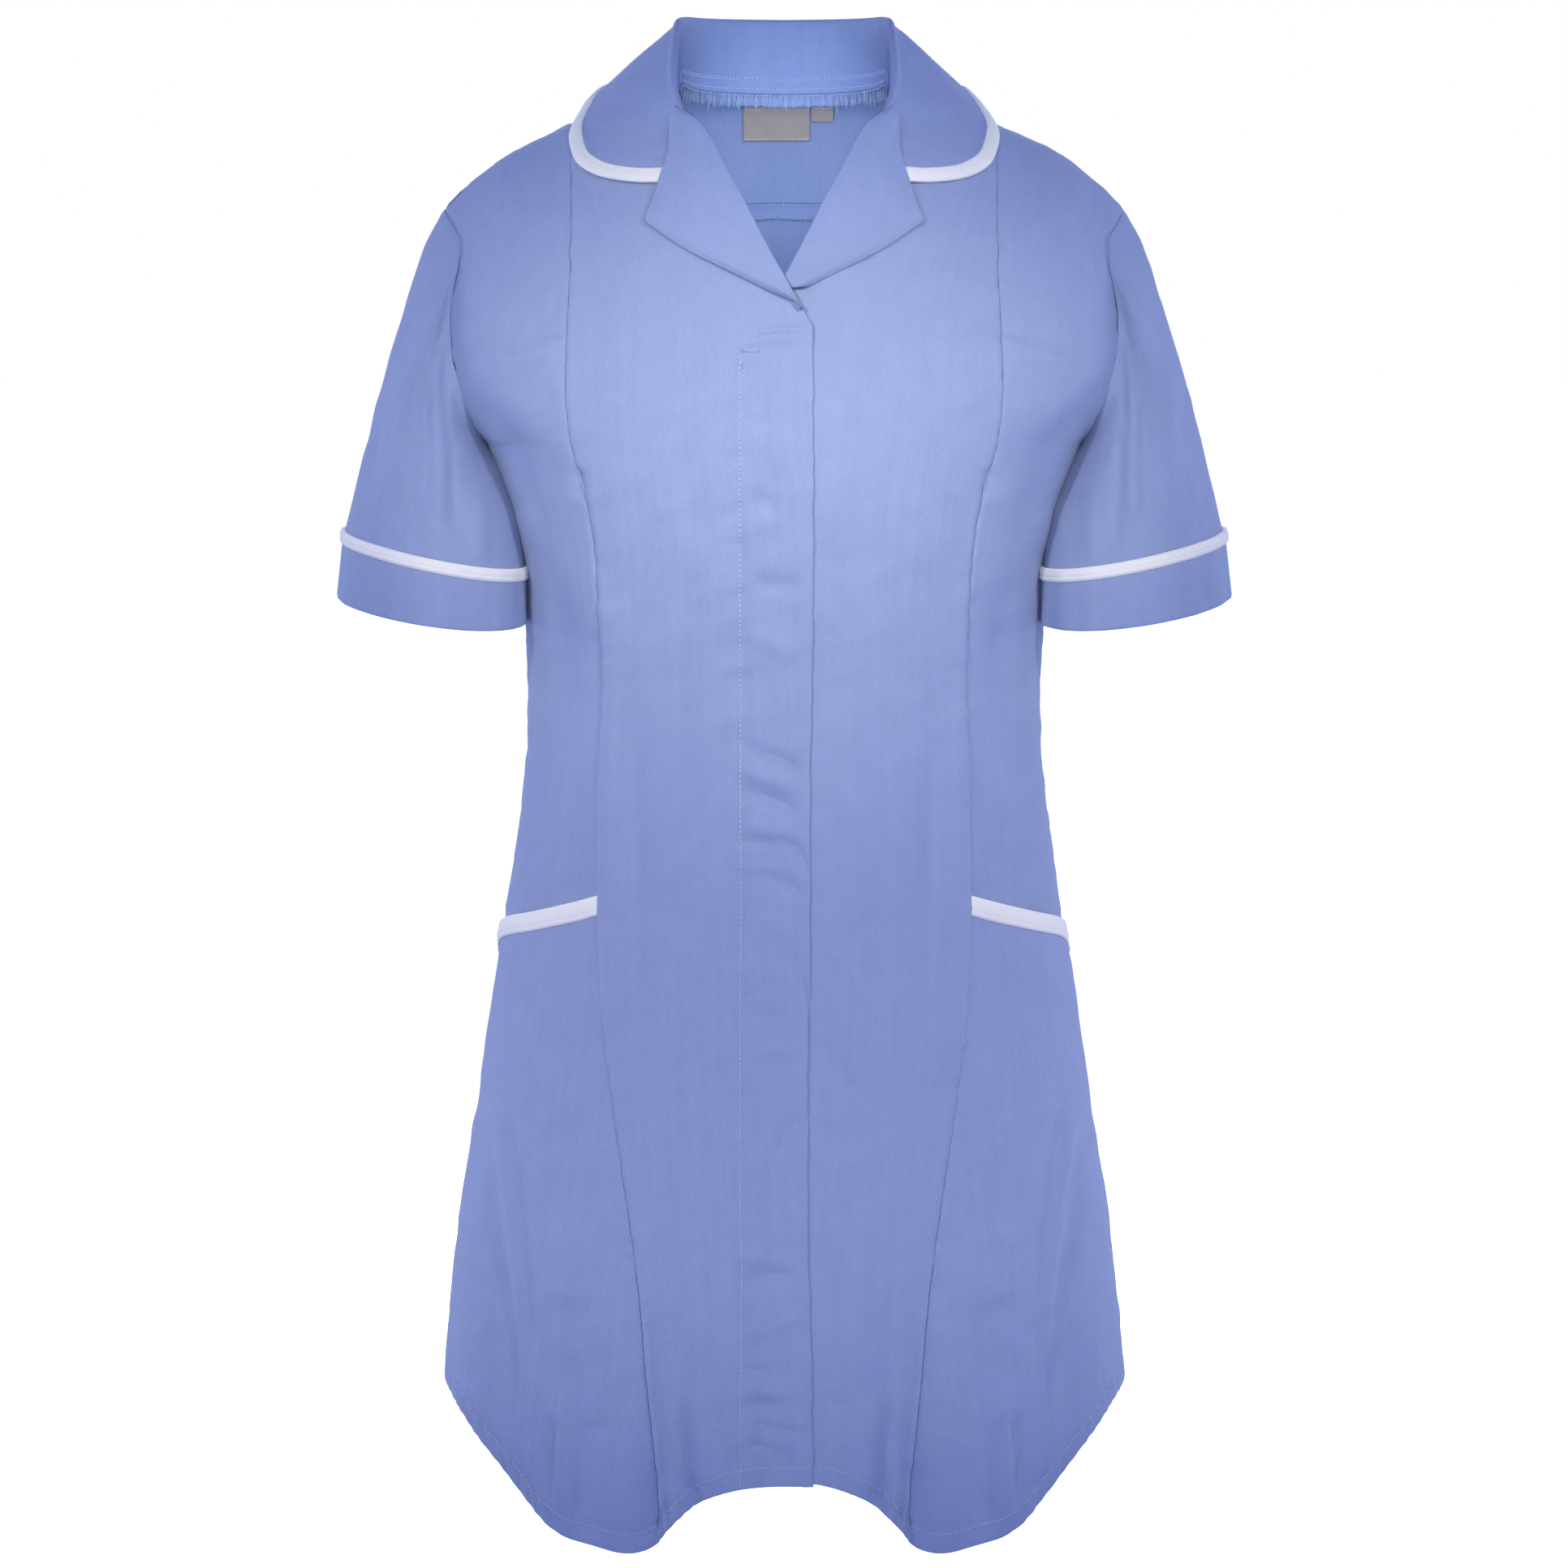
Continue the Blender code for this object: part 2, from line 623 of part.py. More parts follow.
def collar_section(stations, spots):
    """Collar from the foot of its stand over the roll to its edge, on the wearer's left."""
    keys = np.arange(len(COLLAR), dtype=float)
    table = np.column_stack((keys, COLLAR))
    foot, roll, edge = (
        np.stack([smooth(table, stations, 1 + 3 * group + axis) for axis in range(3)], -1)
        for group in range(3)
    )
    away = unit((edge - roll) * np.array((1.0, 1.0, 0.0)))
    up = np.array((0.0, 0.0, 1.0))
    plump = (1.0 - COLLAR_FLAT * ease((stations - 6.0) / 4.0))[:, None]
    fall = roll + (away * ROLL_WIDTH - up * ROLL_DROP) * plump
    bend = fall + (away * FALL_BEND[0] - up * FALL_BEND[1]) * plump
    length = np.linalg.norm(edge - fall, axis=1, keepdims=True)
    rows = []
    for part, t in spots:
        if part == "stand":
            row = behind_roll(foot + (roll - up * ROLL_DROP * plump - foot) * t)
        elif part == "roll":
            over = away * ROLL_WIDTH / 2 * (1 - math.cos(t * math.pi))
            under = up * ROLL_DROP * (1 - math.sin(t * math.pi))
            row = roll + (over - under) * plump
            row = behind_roll(row) if t < 0.5 else clear_of_body(row)
        else:
            if part == "band":
                t = 1 - COLLAR_BINDING / length * (1 - t)
            row = clear_of_body(fall * (1 - t) ** 2 + 2 * bend * t * (1 - t) + edge * t * t)
        rows.append(row)
    return np.stack(rows)


def behind_roll(points):
    """Keeps the stand inside the front's neck edge."""
    limit = smooth(ROLL, points[:, 2]) - STAND_CLEAR
    inside = np.where(points[:, 1] < 0.0, np.minimum(points[:, 0], limit), points[:, 0])
    return np.column_stack((inside, points[:, 1:]))


def clear_of_body(points):
    """Moves collar points out where they would lie closer to the body than it allows."""
    points = points.copy()
    x, y, z = points[..., 0], points[..., 1], points[..., 2]
    neck = np.minimum(smooth(ROLL, z), NECK_HALF) - STAND_CLEAR
    for side in (-1, 1):
        skin = bare_torso(side, angle_of(x, z), z)[..., 1] + side * COLLAR_CLEAR
        under = (z < smooth(SHOULDER, np.abs(x)) - 0.004) & (np.abs(x) > neck)
        inside = under & (side * y > 0) & (side * y < side * skin)
        points[..., 1] = np.where(inside, skin, points[..., 1])
    return points


STAND_SPOTS = [("stand", t) for t in (0.0, 0.35, 0.70)]
ROLL_SPOTS = [("roll", t) for t in (0.0, 0.3, 0.6, 0.9)]
FALL_SPOTS = [("fall", t) for t in (0.15, 0.35, 0.58)]
BAND_SPOTS = [("band", t) for t in (0.0, 0.5, 1.0)]


def grid_normals(points):
    down = np.gradient(points, axis=0)
    across = np.gradient(points, axis=1)
    return unit(np.cross(across, down))


def mirrored(points):
    return points * np.array((-1.0, 1.0, 1.0))


def grid_faces(rows, columns, closed, flip):
    faces = []
    for row in range(rows - 1):
        for column in range(columns if closed else columns - 1):
            right = (column + 1) % columns
            low = row + 1
            face = (row * columns + column, low * columns + column,
                    low * columns + right, row * columns + right)
            faces.append(face[::-1] if flip else face)
    return faces


def material_named(name, colour, roughness):
    material = bpy.data.materials.new(name)
    material.use_nodes = True
    shader = material.node_tree.nodes["Principled BSDF"]
    shader.inputs["Base Color"].default_value = (*colour, 1.0)
    shader.inputs["Roughness"].default_value = roughness
    shader.inputs["Metallic"].default_value = 0.0
    material.diffuse_color = (*colour, 1.0)
    return material


def cloth_piece(name, points, colour, roughness=0.85, wall=WALL, closed=False, flip=False):
    """Open surface through a grid of points, made a wall by a Solidify on its inner side."""
    rows, columns = points.shape[:2]
    mesh = bpy.data.meshes.new(name)
    faces = grid_faces(rows, columns, closed, flip)
    mesh.from_pydata(points.reshape(-1, 3).tolist(), [], faces)
    mesh.shade_smooth()
    mesh.materials.append(material_named(name, colour, roughness))
    piece = bpy.data.objects.new(name, mesh)
    TUNIC.objects.link(piece)
    shell = piece.modifiers.new("cloth wall", "SOLIDIFY")
    shell.thickness = wall
    shell.offset = -1.0
    shell.use_even_offset = True
    mesh.set_sharp_from_angle(angle=math.radians(50))
    return piece


def pair(name, points, colour, flip=False, **settings):
    """A piece on the wearer's left and its mirror image on the right."""
    cloth_piece(name + "_left", points, colour, flip=flip, **settings)
    cloth_piece(name + "_right", mirrored(points), colour, flip=not flip, **settings)


def clear_scene():
    for item in list(bpy.data.objects):
        bpy.data.objects.remove(item, do_unlink=True)


def build_side_fronts():
    share = np.linspace(0.0, 1.0, 10)
    z, angle = side_front_grid(share)
    lift = side_front_lift(z, share)
    pair("side_front", torso(-1, angle, z, lift), BLUE)


def build_pockets():
    share = np.array(POCKET_SHARES)
    z, angle = pocket_grid(share)
    pair("pocket", torso(-1, angle, z, pocket_lift(share) + 0 * z), BLUE)
    z = rows_between(z[0] + BINDING_OVER, z[0] - POCKET_BINDING, (0.0, 0.5, 1.0))
    angle = seam_angle(z, share)
    lift = pocket_lift(share) + SEAM + BAND_WALL + 0 * z
    pair("pocket_binding", torso(-1, angle, z, lift), WHITE, roughness=0.8, wall=BAND_WALL)


def build_fronts():
    share = np.linspace(0.0, 1.0, 11)
    z, distance = front_grid(share, right_edge)
    points = torso(-1, angle_of(-distance, z), z)
    cloth_piece("front_right", points, BLUE, flip=False)
    z, distance = front_grid(share, left_edge, LEFT_HEM_RISE)
    points = torso(-1, angle_of(distance, z), z, lap_lift(z, distance))
    cloth_piece("front_left", points, BLUE, flip=True)


def build_lapels():
    share = np.linspace(0.0, 1.0, 7)
    tip = LAPEL[4, 0]
    levels = np.concatenate((np.linspace(LAPEL_TOP, tip, 8),
                             np.linspace(tip, LAPEL_BOTTOM, 9)[1:]))
    z, distance = lapel_grid(levels, share, lambda z: smooth(ROLL, z))
    lift = lapel_lift(z, share)
    cloth_piece("lapel_right", torso(-1, angle_of(-distance, z), z, lift), BLUE, flip=False)
    levels = levels[levels > LEFT_LAPEL_BOTTOM]
    z, distance = lapel_grid(levels, share, left_lapel_inner)
    lift = lapel_lift(z, share) + lap_lift(z, distance)
    cloth_piece("lapel_left", torso(-1, angle_of(distance, z), z, lift), BLUE, flip=True)


def build_back():
    neck = np.linspace(-NECK_SHARE, NECK_SHARE, 13)
    shoulder = np.linspace(NECK_SHARE, 1.0, 7)[1:]
    share = np.concatenate((-shoulder[::-1], neck, shoulder))
    z, angle = yoke_grid(share)
    cloth_piece("back_yoke", torso(1, angle, z), BLUE, flip=True)
    z, angle = back_grid(share)
    cloth_piece("back_panel", torso(1, angle, z), BLUE, flip=True)


def build_sleeves():
    rows = sleeve_rows(np.linspace(0.0, 1.0, 8), (0.5, 0.93))
    pair("sleeve", rows, BLUE, flip=True, closed=True)
    cuff = sleeve_rows((), np.linspace(0.0, 1.0, 4))
    normals = ring_normals(cuff)
    outer = cuff + normals * (SEAM + WALL)
    pair("cuff", outer, BLUE, flip=True, closed=True)
    along = unit(cuff[-1] - cuff[0])
    spots = np.linspace(-BINDING_OVER, CUFF_BINDING, 3)
    band = cuff[0] + along * spots[:, None, None]
    lift = 2 * SEAM + WALL + BAND_WALL
    pair("cuff_binding", band + ring_normals(band) * lift, WHITE, flip=True, closed=True,
         roughness=0.8, wall=BAND_WALL)


def ring_normals(points):
    down = np.gradient(points, axis=0)
    across = np.roll(points, -1, axis=1) - np.roll(points, 1, axis=1)
    return unit(np.cross(across, down))


def build_collar():
    stations = np.linspace(0.0, len(COLLAR) - 1.0, 15)
    half = collar_section(stations, STAND_SPOTS + ROLL_SPOTS + FALL_SPOTS + BAND_SPOTS)
    whole = np.concatenate((mirrored(half)[:, :0:-1], half), axis=1)
    cloth_piece("collar", whole, BLUE, flip=True)
    lift = SEAM + BAND_WALL
    band = whole[-3:] + grid_normals(whole)[-3:] * lift
    cloth_piece("collar_binding", band, WHITE, roughness=0.8, wall=BAND_WALL, flip=True)


def build_labels():
    for name, (left, right, top, bottom) in (("neck_label", NECK_LABEL),
                                             ("size_tab", SIZE_TAB)):
        x, z = np.meshgrid(np.linspace(left, right, 4), np.linspace(top, bottom, 4))
        points = torso(1, angle_of(x, z), z, 0 * x - WALL - LABEL_GAP)
        cloth_piece(name, points, GREY, roughness=0.7, wall=BAND_WALL, flip=True)


clear_scene()
TUNIC = bpy.data.collections.new("maternity_tunic")
bpy.context.scene.collection.children.link(TUNIC)
build_fronts()
build_side_fronts()
build_pockets()
build_lapels()
build_back()
build_sleeves()
build_collar()
build_labels()
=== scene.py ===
"""Looks of the maternity tunic: thin cloth shells, seams, stitches, bindings and labels.

The shells follow the solids of the frame and stand in for them. Lengths are in metres, +Z is
up, the front faces -Y and the wearer's right is -X.
"""

import math

import bpy
import numpy as np
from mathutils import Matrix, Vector


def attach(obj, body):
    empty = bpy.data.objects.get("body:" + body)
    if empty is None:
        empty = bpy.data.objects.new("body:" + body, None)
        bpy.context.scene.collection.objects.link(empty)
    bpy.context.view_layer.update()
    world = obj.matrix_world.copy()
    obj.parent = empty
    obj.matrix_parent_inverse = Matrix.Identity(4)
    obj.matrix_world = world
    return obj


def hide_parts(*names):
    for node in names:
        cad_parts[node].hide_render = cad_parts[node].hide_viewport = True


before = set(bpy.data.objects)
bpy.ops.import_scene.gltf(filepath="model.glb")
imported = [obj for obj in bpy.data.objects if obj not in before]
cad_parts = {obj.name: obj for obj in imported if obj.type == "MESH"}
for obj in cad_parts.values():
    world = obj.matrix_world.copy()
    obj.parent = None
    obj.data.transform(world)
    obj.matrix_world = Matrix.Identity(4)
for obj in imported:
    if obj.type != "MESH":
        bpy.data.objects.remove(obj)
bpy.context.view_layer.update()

# Walls, layers and the gaps between them
CLOTH = 0.0005
STIFF_WALL = 0.0007
BAND_WALL = 0.0004
STRIP_WALL = 0.0003
LAYER = 0.0013
SEAM = 0.0003
LABEL_GAP = 0.0012

# Sewing sizes
CUFF_BINDING = 0.0062
POCKET_BINDING = 0.0100
COLLAR_BINDING = 0.0086
BINDING_OVER = 0.0006
BAND_PROUD = 0.0011
FRONT_LAP = 0.0220
LAP_DROP = 0.0030
LAP_EASED = 0.42
LAP_BLEND = 0.0260
LAP_ABOVE = 0.0100
LAP_OPENING = 0.0200
LEFT_HEM_RISE = 0.0030
PIN = 0.0015
HEM_DEPTH = 0.0115
FOLD_RADIUS = 0.0007
HEM_TAILS = (0.003, 0.007, HEM_DEPTH)
PLACKET_TOP = -0.1570
PLACKET_STITCHES = -0.0248

# Pucker of a hem: distance from one to the next, height where level, more where it climbs
PUCKER_PITCH = 0.0076
PUCKER_LEVEL = 0.00010
PUCKER_CLIMB = 0.00130
# Distance of a hem's stitches from its turned edge
HEM_STITCH = 0.0010

# Pressed seam: half width of its groove, place and half width of the swell beside it, and the
# wavelength, reach and height of its ripples
GROOVE_HALF = 0.0011
SWELL_PLACE = 0.0040
SWELL_HALF = 0.0030
RIPPLE_LENGTH = 0.017
RIPPLE_REACH = 0.007
RIPPLE_HEIGHT = 0.00045

# How far a seam allowance reaches under the piece beside it, or sinks behind it
PRINCESS_UNDER = 0.0042
SLEEVE_UNDER = 0.0055
BACK_UNDER = 0.0025
SIDE_DEPTH = 0.0055
COLLAR_DEPTH = 0.0015

# Widths from seam to seam
FRONT_WIDTH = 0.118
SIDE_WIDTH = 0.062
POCKET_WIDTH = 0.135
LAPEL_WIDTH = 0.045

# Forms that stand off the torso: the flare's seams, the bag of a pocket, the lapels, and the
# fullness below the arm, beside the side seam and at the princess seam
FLARE_GAP = 0.0003
FLARE_GAP_LENGTH = 0.080
BAG_START = 0.0200
BAG_BLEND = 0.0240
BAG_DEPTH = 0.0019
BAG_MORE = 0.0006
POCKET_BULGE = 0.0034
POCKET_LEAN = 1.6
LAPEL_GAP = 0.0009
LAPEL_BULGE = 0.0016
LAPEL_LIFTS = ((-0.092, 0.024, 0.0046), (-0.045, 0.018, 0.0030))
LAPEL_TOP = -0.0215
LEFT_LAPEL_BOTTOM = -0.1230
LAPEL_END = -0.1335
UNDERARM_FULLNESS = 0.0018
SIDE_FULLNESS = 0.0022
WAIST_RIDGE = 0.0012

# Rounding below the shoulder ridge, and the half widths at the neck and the shoulder's end
ROUND_FRONT = 0.120
ROUND_BACK = 0.080
NECK_HALF = 0.0640
SHOULDER_HALF = 0.1970

# Levels at which the spacing of the rows changes
LEVEL_TOP = -0.100
BACK_LEVEL = -0.137
UNDERARM = -0.212
MOUTH_LEVEL = -0.530
FLARE_LEVEL = -0.620
BAG_BOTTOM = -0.752

# Rows and columns of points: usual distance from one to the next, that of the level rows on the
# fronts and on the back, and how many rows there are where they aren't level
STEP = 0.0034
FRONT_STEP = 0.0025
BACK_STEP = 0.0042
MOUTH_ROWS = 19
BACK_TOP_ROWS = 17
FRONT_SKIRT_ROWS = 66
BACK_SKIRT_ROWS = 52
# Zone at each edge of a piece with its columns closer together
EDGE_ZONE = 0.0040

# Threads: corners of a section, sections of a stitch, its length as a share of its pitch, height
# over the cloth, and the row of a binding that its stitches follow
CORNERS = 5
SECTIONS = 5
STITCH_FILL = 0.78
STITCH_RISE = 0.00018
STITCHED_ROW = -5

# Overlocks: rows of the collar's stand with stitches and with the cut edge, how far to the
# front these go, distance of the yoke's edge from its seam, and how far inside it is, depths,
# and how far the yoke's strip rises over the seam
STAND_ROWS = (4.75, 5.2, 2.85)
OVERLOCK_ROW = 1.95
STAND_SEWN = -0.015
YOKE_EDGE = 0.0050
STRIP_THROUGH = 0.0009
NECK_OVERLOCK = 0.0080
YOKE_OVERLOCK = 0.0105
YOKE_OVER = 0.0024
LOOP_PITCH = 0.0011
BARTACK_LEGS = 34

# Offset that keeps the back's waves apart from the front's
BACK_SHIFT = 0.4
BOTH_SIDES = ((1, "left", False), (-1, "right", True))

# Torso rings: level, half width, front depth, back depth, power of the superellipse
TORSO = np.array((
    (0.06, 0.206, 0.085, 0.1, 2.3), (-0.02, 0.206, 0.085, 0.1, 2.3),
    (-0.06, 0.206, 0.0885, 0.101, 2.3), (-0.1, 0.206, 0.098, 0.103, 2.3),
    (-0.143, 0.206, 0.1075, 0.105, 2.3), (-0.168, 0.2035, 0.113, 0.1055, 2.3),
    (-0.186, 0.196, 0.1165, 0.105, 2.3), (-0.2, 0.1845, 0.1185, 0.104, 2.3),
    (-0.212, 0.1735, 0.12, 0.103, 2.3), (-0.232, 0.1635, 0.1205, 0.1005, 2.3),
    (-0.263, 0.154, 0.1185, 0.0965, 2.3), (-0.302, 0.1487, 0.1135, 0.0915, 2.28),
    (-0.352, 0.1471, 0.106, 0.089, 2.25), (-0.409, 0.1521, 0.103, 0.092, 2.22),
    (-0.467, 0.1599, 0.1045, 0.1, 2.2), (-0.524, 0.1682, 0.1075, 0.108, 2.18),
    (-0.601, 0.1802, 0.112, 0.115, 2.16), (-0.698, 0.1945, 0.117, 0.121, 2.14),
    (-0.761, 0.1999, 0.12, 0.124, 2.12), (-0.88, 0.208, 0.123, 0.127, 2.1),
))
# The tables that end in / 1000 are in millimetres
# Shoulder ridge: distance from the centre, height
SHOULDER = np.array((
    (0, 22), (30, 18), (55, 7.8), (66, 1), (80, -6), (100, -16), (117, -24.5), (138, -34),
    (159, -44), (175, -55.5), (188, -66.5), (198, -77.8), (215, -100),
)) / 1000
# Princess seam: level, distance from the centre
PRINCESS = np.array((
    (20, 122.5), (-40, 122.5), (-97, 121.5), (-148, 123.5), (-180, 124.3), (-207, 121.8),
    (-230, 116), (-258, 109.8), (-295, 106.2), (-352, 104.2), (-422, 105.3), (-470, 106),
    (-514, 104.8), (-560, 101.5), (-607, 95.9), (-653, 88.9), (-699, 82.8), (-745, 78.6),
    (-791, 74.4), (-860, 70),
)) / 1000
# Armhole seam: level, distance from the centre
ARMHOLE = np.array((
    (60, 197), (-76.5, 197), (-85, 192.5), (-96, 186.8), (-107, 187.2), (-117.5, 189.5),
    (-138, 192.5), (-157, 191.8), (-172, 188.5), (-186, 184.5), (-200, 178.8), (-208, 175.2),
    (-212, 173.5),
)) / 1000
# Roll line of a lapel: level, distance past the centre towards its own side
ROLL = np.array((
    (10, 64), (-6, 63.8), (-20, 59.5), (-34, 44.5), (-58, 31.6), (-83, 18.3), (-108, 4.6),
    (-129, -7.5), (-143, -15.6),
)) / 1000
# Outer edge of a lapel: level, distance from the centre
LAPEL = np.array((
    (-20, 61.5), (-46, 63.9), (-61, 68.9), (-76, 73.5), (-85, 77.5), (-90, 71), (-101.4, 53.3),
    (-112.8, 30.3), (-124.2, 7.3), (-132.4, -8.7), (-137.9, -11),
)) / 1000
# Front edge of the upper front: level, place past the centre
EDGE = np.array((
    (-143, 15.6), (-234, 16), (-326, 15.6), (-419, 14.3), (-511, 14.3), (-558, 13), (-651, 13),
    (-744, 15.3), (-860, 16.3),
)) / 1000
# Hem of the front and of the back: distance from the centre, level
HEM_FRONT = np.array((
    (-30, -804.6), (0, -804.6), (16.7, -805.4), (28.3, -807.3), (40, -811), (51.7, -816.8),
    (61, -825), (69, -833.5), (74, -840.2), (80, -843), (87, -844), (107.5, -841.2), (124.1, -840),
    (135.6, -834.5), (153.5, -816.5), (168.2, -795.5), (183.8, -774.2), (192.8, -765.2),
    (198.6, -760.5), (201, -758.5),
)) / 1000
HEM_BACK = np.array((
    (0, -817), (60, -817.5), (110, -815.5), (150, -799.5), (180, -776), (192.8, -766.5),
    (198.6, -760.7), (201, -758.5),
)) / 1000
# Pocket mouth: share of the way from the princess seam to the side seam, level
MOUTH = np.array((
    (0.0, -0.4702), (0.2, -0.4765), (0.45, -0.483), (0.7, -0.4885), (0.85, -0.4935), (1.0, -0.503),
))
# Soft folds: top place, top level, low place, low level, half width, height
FRONT_FOLDS = (
    (0.096, -0.600, 0.094, -0.850, 0.022, 0.0090), (0.072, -0.600, 0.060, -0.850, 0.014, -0.0110),
    (0.158, -0.560, 0.152, -0.850, 0.014, -0.0045), (0.128, -0.690, 0.126, -0.850, 0.013, -0.0040),
    (0.182, -0.600, 0.178, -0.800, 0.010, 0.0025),
)
BACK_FOLDS = (
    (0.000, -0.500, 0.000, -0.850, 0.022, 0.0060), (0.050, -0.450, 0.060, -0.850, 0.020, -0.0070),
    (0.095, -0.420, 0.110, -0.850, 0.022, 0.0070), (0.140, -0.520, 0.155, -0.850, 0.016, -0.0050),
)
# Back neckline: distance from the centre, depth at which it is cut
BACK_NECK = np.array((
    (0, 72.4), (18, 71), (26.2, 68.8), (36.5, 63.6), (45.7, 56.3), (52.3, 47.4), (57.3, 37.4),
    (61, 26.5), (63.3, 15.5), (64, 0),
)) / 1000
YOKE_CENTRE = -0.077
YOKE_SIDE = -0.108
NECK_SHARE = 0.40

# Collar stations, from the centre back to the front end: foot of the stand, roll and edge
COLLAR = np.array((
    (0, 69.5, -9.5, 0, 69, 35.5, 0, 101, -31), (25, 66, -9, 24.5, 65.5, 35.7, 40, 98.5, -29.5),
    (44, 54, -8, 42.5, 54, 35.8, 74, 83, -23.5), (55, 36, -6.5, 53, 37, 36, 96.5, 52, -14),
    (59.6, 15, -4.5, 58, 17, 34.5, 108, 21, -9.8), (60, -3, -5, 59.5, -1, 26.5, 118.5, -6, -21.5),
    (60.2, -20, -8, 60.5, -19, 15, 123.2, -29, -34.5),
    (60.2, -35, -15, 61.2, -35, 1.5, 119, -47, -49),
    (59.2, -42.5, -18, 60.6, -45.5, -8, 102, -59, -58.8),
    (56.5, -46.5, -20.5, 59.8, -52.5, -14.5, 80, -67, -61.2),
    (52.8, -47.5, -22.2, 58, -57, -19, 56, -72, -60.8),
)) / 1000
# Parts of the collar: first and last share of the way along it, rows of points
COLLAR_PARTS = (("stand", -0.10, 0.94, 16), ("roll", 0.0, 0.95, 14), ("fall", 0.04, 0.74, 22),
                ("band", 0.0, 1.0, 8))
# Allowance at the foot of the stand: how far in, how far down
COLLAR_FOOT = ((0.0090, 0.0090), (0.0060, 0.0050), (0.0030, 0.0018))
COLLAR_CLEAR = 0.0030
STAND_CLEAR = 0.0030
ROLL_WIDTH = 0.0060
ROLL_DROP = 0.0042
FALL_BEND = (0.0100, 0.0078)
# How much flatter the roll is at the front end, the station where that starts, its blend
COLLAR_FLAT = 0.65
FLAT_STATION = 6.0
FLAT_BLEND = 4.0

# Sleeve: the ring under the binding and the ring at the bottom of the cuff
SLEEVE_RING = {"outer": (0.2540, -0.2620), "inner": (0.1532, -0.2840), "depth": 0.0540,
               "tilt": 0.0040, "forward": 0.0260}
CUFF_RING = {"outer": (0.2580, -0.2985), "inner": (0.1530, -0.3150), "depth": 0.0550,
             "tilt": 0.0065, "forward": 0.0290}
SLEEVE_LEAVES = {"outer": (0.50, -0.04, -0.86), "front": (0.42, -0.40, -0.82),
                 "inner": (-0.43, 0.00, -0.90), "back": (0.42, 0.40, -0.82)}
LEAVE_REACH = 0.60
CUFF_RADIUS = 0.058

# Labels inside the yoke: left edge, right edge, top, bottom
NECK_LABEL = (-0.0247, 0.0157, -0.0134, -0.0342)
SIZE_TAB = (0.0166, 0.0298, -0.0134, -0.0224)


def smooth(table, at, column=1):
    """Cubic curve through a table's rows, with no overshoot, read at its first column."""
    rows = table if table[0, 0] < table[-1, 0] else table[::-1]
    keys, values = rows[:, 0], rows[:, column]
    steps = np.diff(values) / np.diff(keys)
    turns = steps[:-1] * steps[1:] <= 0
    sums = np.where(turns, 1.0, steps[:-1] + steps[1:])
    middle = np.where(turns, 0.0, 2 * steps[:-1] * steps[1:] / sums)
    slopes = np.concatenate((steps[:1], middle, steps[-1:]))
    at = np.clip(at, keys[0], keys[-1])
    low = np.clip(np.searchsorted(keys, at, side="right") - 1, 0, len(keys) - 2)
    span = keys[low + 1] - keys[low]
    t = (at - keys[low]) / span
    start = (1 + 2 * t) * (1 - t) ** 2 * values[low] + t * (1 - t) ** 2 * span * slopes[low]
    end = t * t * (3 - 2 * t) * values[low + 1] - t * t * (1 - t) * span * slopes[low + 1]
    return start + end


def ease(t):
    t = np.clip(t, 0.0, 1.0)
    return t * t * (3 - 2 * t)


def bell(off, width):
    return np.exp(-(off / width) ** 2)


def zone(z, top, above, low, below):
    """0 above the top level and below the low one, easing to 1 over these two lengths."""
    return ease((top - z) / above) * ease((z - low) / below)


def unit(vectors):
    return vectors / np.maximum(np.linalg.norm(vectors, axis=-1, keepdims=True), 1e-12)


def lengths(points):
    """Distance of each point along its column, from the first row."""
    legs = np.linalg.norm(np.diff(points[..., :3], axis=0), axis=-1)
    return np.concatenate((np.zeros((1, *legs.shape[1:])), np.cumsum(legs, axis=0)))


def run_of(line):
    """Distance along a line, from one step before its first point."""
    return np.cumsum(np.linalg.norm(np.gradient(line[:, :3], axis=0), axis=-1))


def sample(at, length, rows):
    """Rows of numbers read at places along a line."""
    return np.stack([np.interp(at, length, column) for column in rows.T], axis=-1)


def joined(points, normals):
    """Points and their normals side by side."""
    return np.concatenate((points, normals), axis=-1)


def angle_of(x, z):
    """Angle round the torso, from the centre plane, of the point at this x and level."""
    power = smooth(TORSO, z, 4)
    share = np.clip(np.abs(x) / smooth(TORSO, z), 0.0, 1.0)
    return np.sign(x) * np.arcsin(share ** (power / 2))


def bare_torso(side, angle, z):
    """Torso without folds: side is -1 on the front and +1 on the back."""
    power = smooth(TORSO, z, 4)
    depth = smooth(TORSO, z, 2 if side < 0 else 3)
    reach = ROUND_FRONT if side < 0 else ROUND_BACK
    sine, cosine = np.sin(angle), np.abs(np.cos(angle))
    x = smooth(TORSO, z) * np.sign(sine) * np.abs(sine) ** (2 / power)
    below = np.clip((smooth(SHOULDER, np.abs(x)) - z) / reach, 0.0, 1.0)
    y = side * depth * cosine ** (2 / power) * np.sqrt(1 - (1 - below) ** 2)
    return np.stack((x, y, z + 0 * x), axis=-1)


def torso_normal(side, angle, z):
    turn, drop = 0.01, 0.002
    angle = np.clip(angle, turn - math.pi / 2, math.pi / 2 - turn)
    across = bare_torso(side, angle + turn, z) - bare_torso(side, angle - turn, z)
    down = bare_torso(side, angle, z - drop) - bare_torso(side, angle, z)
    normal = unit(np.cross(down, across) * -side)
    edge = np.abs(np.cos(angle)) < 0.02
    normal[..., 1] = np.where(edge, 0.0, normal[..., 1])
    return unit(normal)


